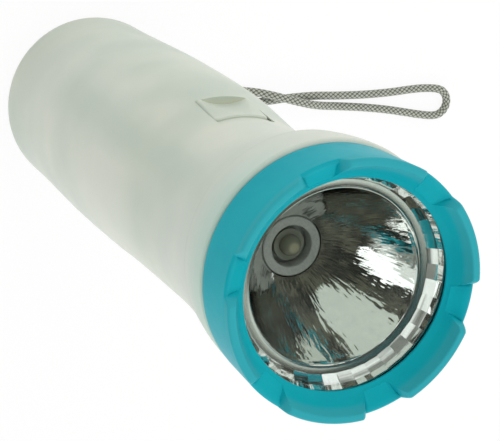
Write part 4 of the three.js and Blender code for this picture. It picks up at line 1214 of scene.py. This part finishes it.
def floor_finish():
    f = new_finish("pale_floor")
    seen = f.node("ShaderNodeLightPath")
    straight = Value(f, seen.outputs["Is Camera Ray"]) + Value(f, seen.outputs["Is Glossy Ray"])
    straight = (straight + Value(f, seen.outputs["Is Transmission Ray"])).clamped()
    diffuse = f.node("ShaderNodeBsdfDiffuse", values={"Color": (0.92, 0.92, 0.92)}).outputs[0]
    white = f.node("ShaderNodeEmission", values={"Color": (1, 1, 1), "Strength": 1.0}).outputs[0]
    both = f.node("ShaderNodeMixShader")
    f.feed(both.inputs[0], straight * 0.92)
    f.feed(both.inputs[1], diffuse)
    f.feed(both.inputs[2], white)
    return f.show(both.outputs[0])


def floor():
    heights = (-STAGE_DEPTH, 0.0)
    vertices, faces = capped_grid([ring_points(STAGE_RADIUS, h, even_azimuths(64)) for h in heights])
    piece = add_piece("floor", vertices, faces, smooth=False)
    piece.data.materials.append(floor_finish())


def light_world():
    world = bpy.data.worlds.new("studio")
    bpy.context.scene.world = world
    f = Finish(world)
    seen = f.node("ShaderNodeLightPath")
    camera = Value(f, seen.outputs["Is Camera Ray"]) + Value(f, seen.outputs["Is Transmission Ray"])
    glossy = Value(f, seen.outputs["Is Glossy Ray"])
    direction = f.node("ShaderNodeTexCoord").outputs["Generated"]
    y, z = f.part_of(direction)[1:]
    haze = f.noise(5.0, detail=4.0, roughness=0.6, vector=direction)
    dark = f.tint(f.ramp(haze, 0.42, 0.62), (0.03, 0.031, 0.028), (0.14, 0.138, 0.105))
    horizon = 1 - f.ramp(z + 0.3 * y, 0.42, 0.52)
    far_walls = f.tint(f.ramp(haze, 0.4, 0.58), (0.22, 0.225, 0.20), (1.1, 1.12, 1.08))
    room = f.tint(horizon, dark, far_walls)
    for place, size, colour in SOFT_WINDOWS:
        room = f.tint(window_mask(f, direction, place, size), room, colour)
    around = (0.84, 0.85, 0.83)
    for place, size, colour in SOFT_WALLS:
        around = f.tint(window_mask(f, direction, place, size, 0.5), around, colour)
    ambient = f.tint(glossy, around, room)
    shown = f.tint(camera.clamped(), ambient, (1.0, 1.0, 1.0))
    back = f.node("ShaderNodeBackground", values={"Color": shown, "Strength": 1.0})
    f.show(back.outputs[0])


def window_mask(f, direction, place, size, soft=0.02):
    """1 inside a soft-edged rectangle of sky, given by azimuth, elevation and tilt in degrees."""
    azimuth, elevation, tilt = (math.radians(a) for a in place)
    level = math.cos(elevation)
    ahead = Vector((level * math.cos(azimuth), level * math.sin(azimuth), math.sin(elevation)))
    side = ahead.cross(Vector((0, 0, 1))).normalized()
    side = Matrix.Rotation(tilt, 3, ahead) @ side
    up = side.cross(ahead)
    parts = []
    for axis in (side, up, ahead):
        values = {0: direction, 1: tuple(axis)}
        made = f.node("ShaderNodeVectorMath", {"operation": "DOT_PRODUCT"}, values)
        parts.append(Value(f, made.outputs["Value"]))
    across, over, front = parts
    front = f.math("MAXIMUM", front, 0.001)
    mask = f.ramp(front, 0.0, 0.01)
    for part, half in ((across, size[0]), (over, size[1])):
        reach = f.math("ABSOLUTE", part / front)
        mask = mask * (1 - f.ramp(reach, half * (1 - soft), half * (1 + soft)))
    return mask


def key_lamp():
    data = bpy.data.lights.new("key", "AREA")
    data.color = KEY_COLOUR
    data.size = KEY_SIZE
    data.energy = KEY_WATTS
    lamp = bpy.data.objects.new("key", data)
    lamp.location = KEY_PLACE
    lamp.rotation_mode = "QUATERNION"
    lamp.rotation_quaternion = (Vector(KEY_TARGET) - Vector(KEY_PLACE)).to_track_quat("-Z", "Y")
    bpy.context.scene.collection.objects.link(lamp)
    lamp.visible_glossy = False


def make_camera():
    data = bpy.data.cameras.new("camera")
    data.lens = CAMERA_LENS
    data.sensor_width = SENSOR_WIDTH
    camera = bpy.data.objects.new("camera", data)
    right, back = Vector(CAMERA_RIGHT), Vector(CAMERA_BACK)
    turn = Matrix((right, back.cross(right), back)).transposed()
    camera.rotation_mode = "QUATERNION"
    camera.rotation_quaternion = turn.to_quaternion()
    camera.location = CAMERA_PLACE
    bpy.context.scene.collection.objects.link(camera)
    bpy.context.scene.camera = camera


def paint(piece, material):
    piece.data.materials.clear()
    piece.data.materials.append(material)


def paint_node(name, material):
    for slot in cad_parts[name].material_slots:
        slot.material = material


make_camera()
cords = strap()
shell = barrel()
slide = knob()
ring = bezel()
mirror = reflector()
collar = led_collar()
dome = led_dome()

milky = milky_plastic("milky_plastic", False)
steel = metal("tinned_steel", (0.42, 0.43, 0.44), (0.62, 0.63, 0.64), 0.25, (900, 900, 60))
brass = metal("stamped_brass", (0.50, 0.33, 0.10), (0.78, 0.58, 0.24), 0.25, (900, 900, 60))
board = metal("board_metal", (0.45, 0.46, 0.47), (0.66, 0.67, 0.68), 0.35, (80, 1400, 80))
white = white_plastic()
jacket = cell_jacket()
paste = cell_paste()
grey = grey_plastic()
braid = grey_braid()
paint(shell, milky)
paint(slide, milky_plastic("scoop_shade_plastic", True))
paint(ring, turquoise_plastic())
paint(mirror, rippled_chrome())
paint(collar, grey)
paint(dome, phosphor())
for piece in cords:
    paint(piece, braid)
paint_node("lens_seal", rubber("teal_rubber", (0.006, 0.20, 0.24), (0.01, 0.24, 0.28)))
paint_node("neck_seal", rubber("black_rubber", (0.018, 0.018, 0.018), (0.035, 0.036, 0.036)))
for node in ("ring_contact", "spring_plate", "tail_spring", "return_strip", "front_strip", "strap_bar"):
    paint_node(node, steel)
for node in ("centre_contact", "switch_runner"):
    paint_node(node, brass)
for node in ("lamp_holder", "switch_frame"):
    paint_node(node, white)
for cell in ("front_cell", "rear_cell"):
    paint_node(f"{cell}_can", jacket)
    paint_node(f"{cell}_core", paste)
    paint_node(f"{cell}_seal", grey)
    paint_node(f"{cell}_cap", steel)
paint_node("lens", clear_window())
paint_node("led_body", led_package())
paint_node("led_board", board)
paint_node("ballast_resistor", resistor_body())

floor()
light_world()
key_lamp()
bpy.context.scene.view_settings.view_transform = "Standard"
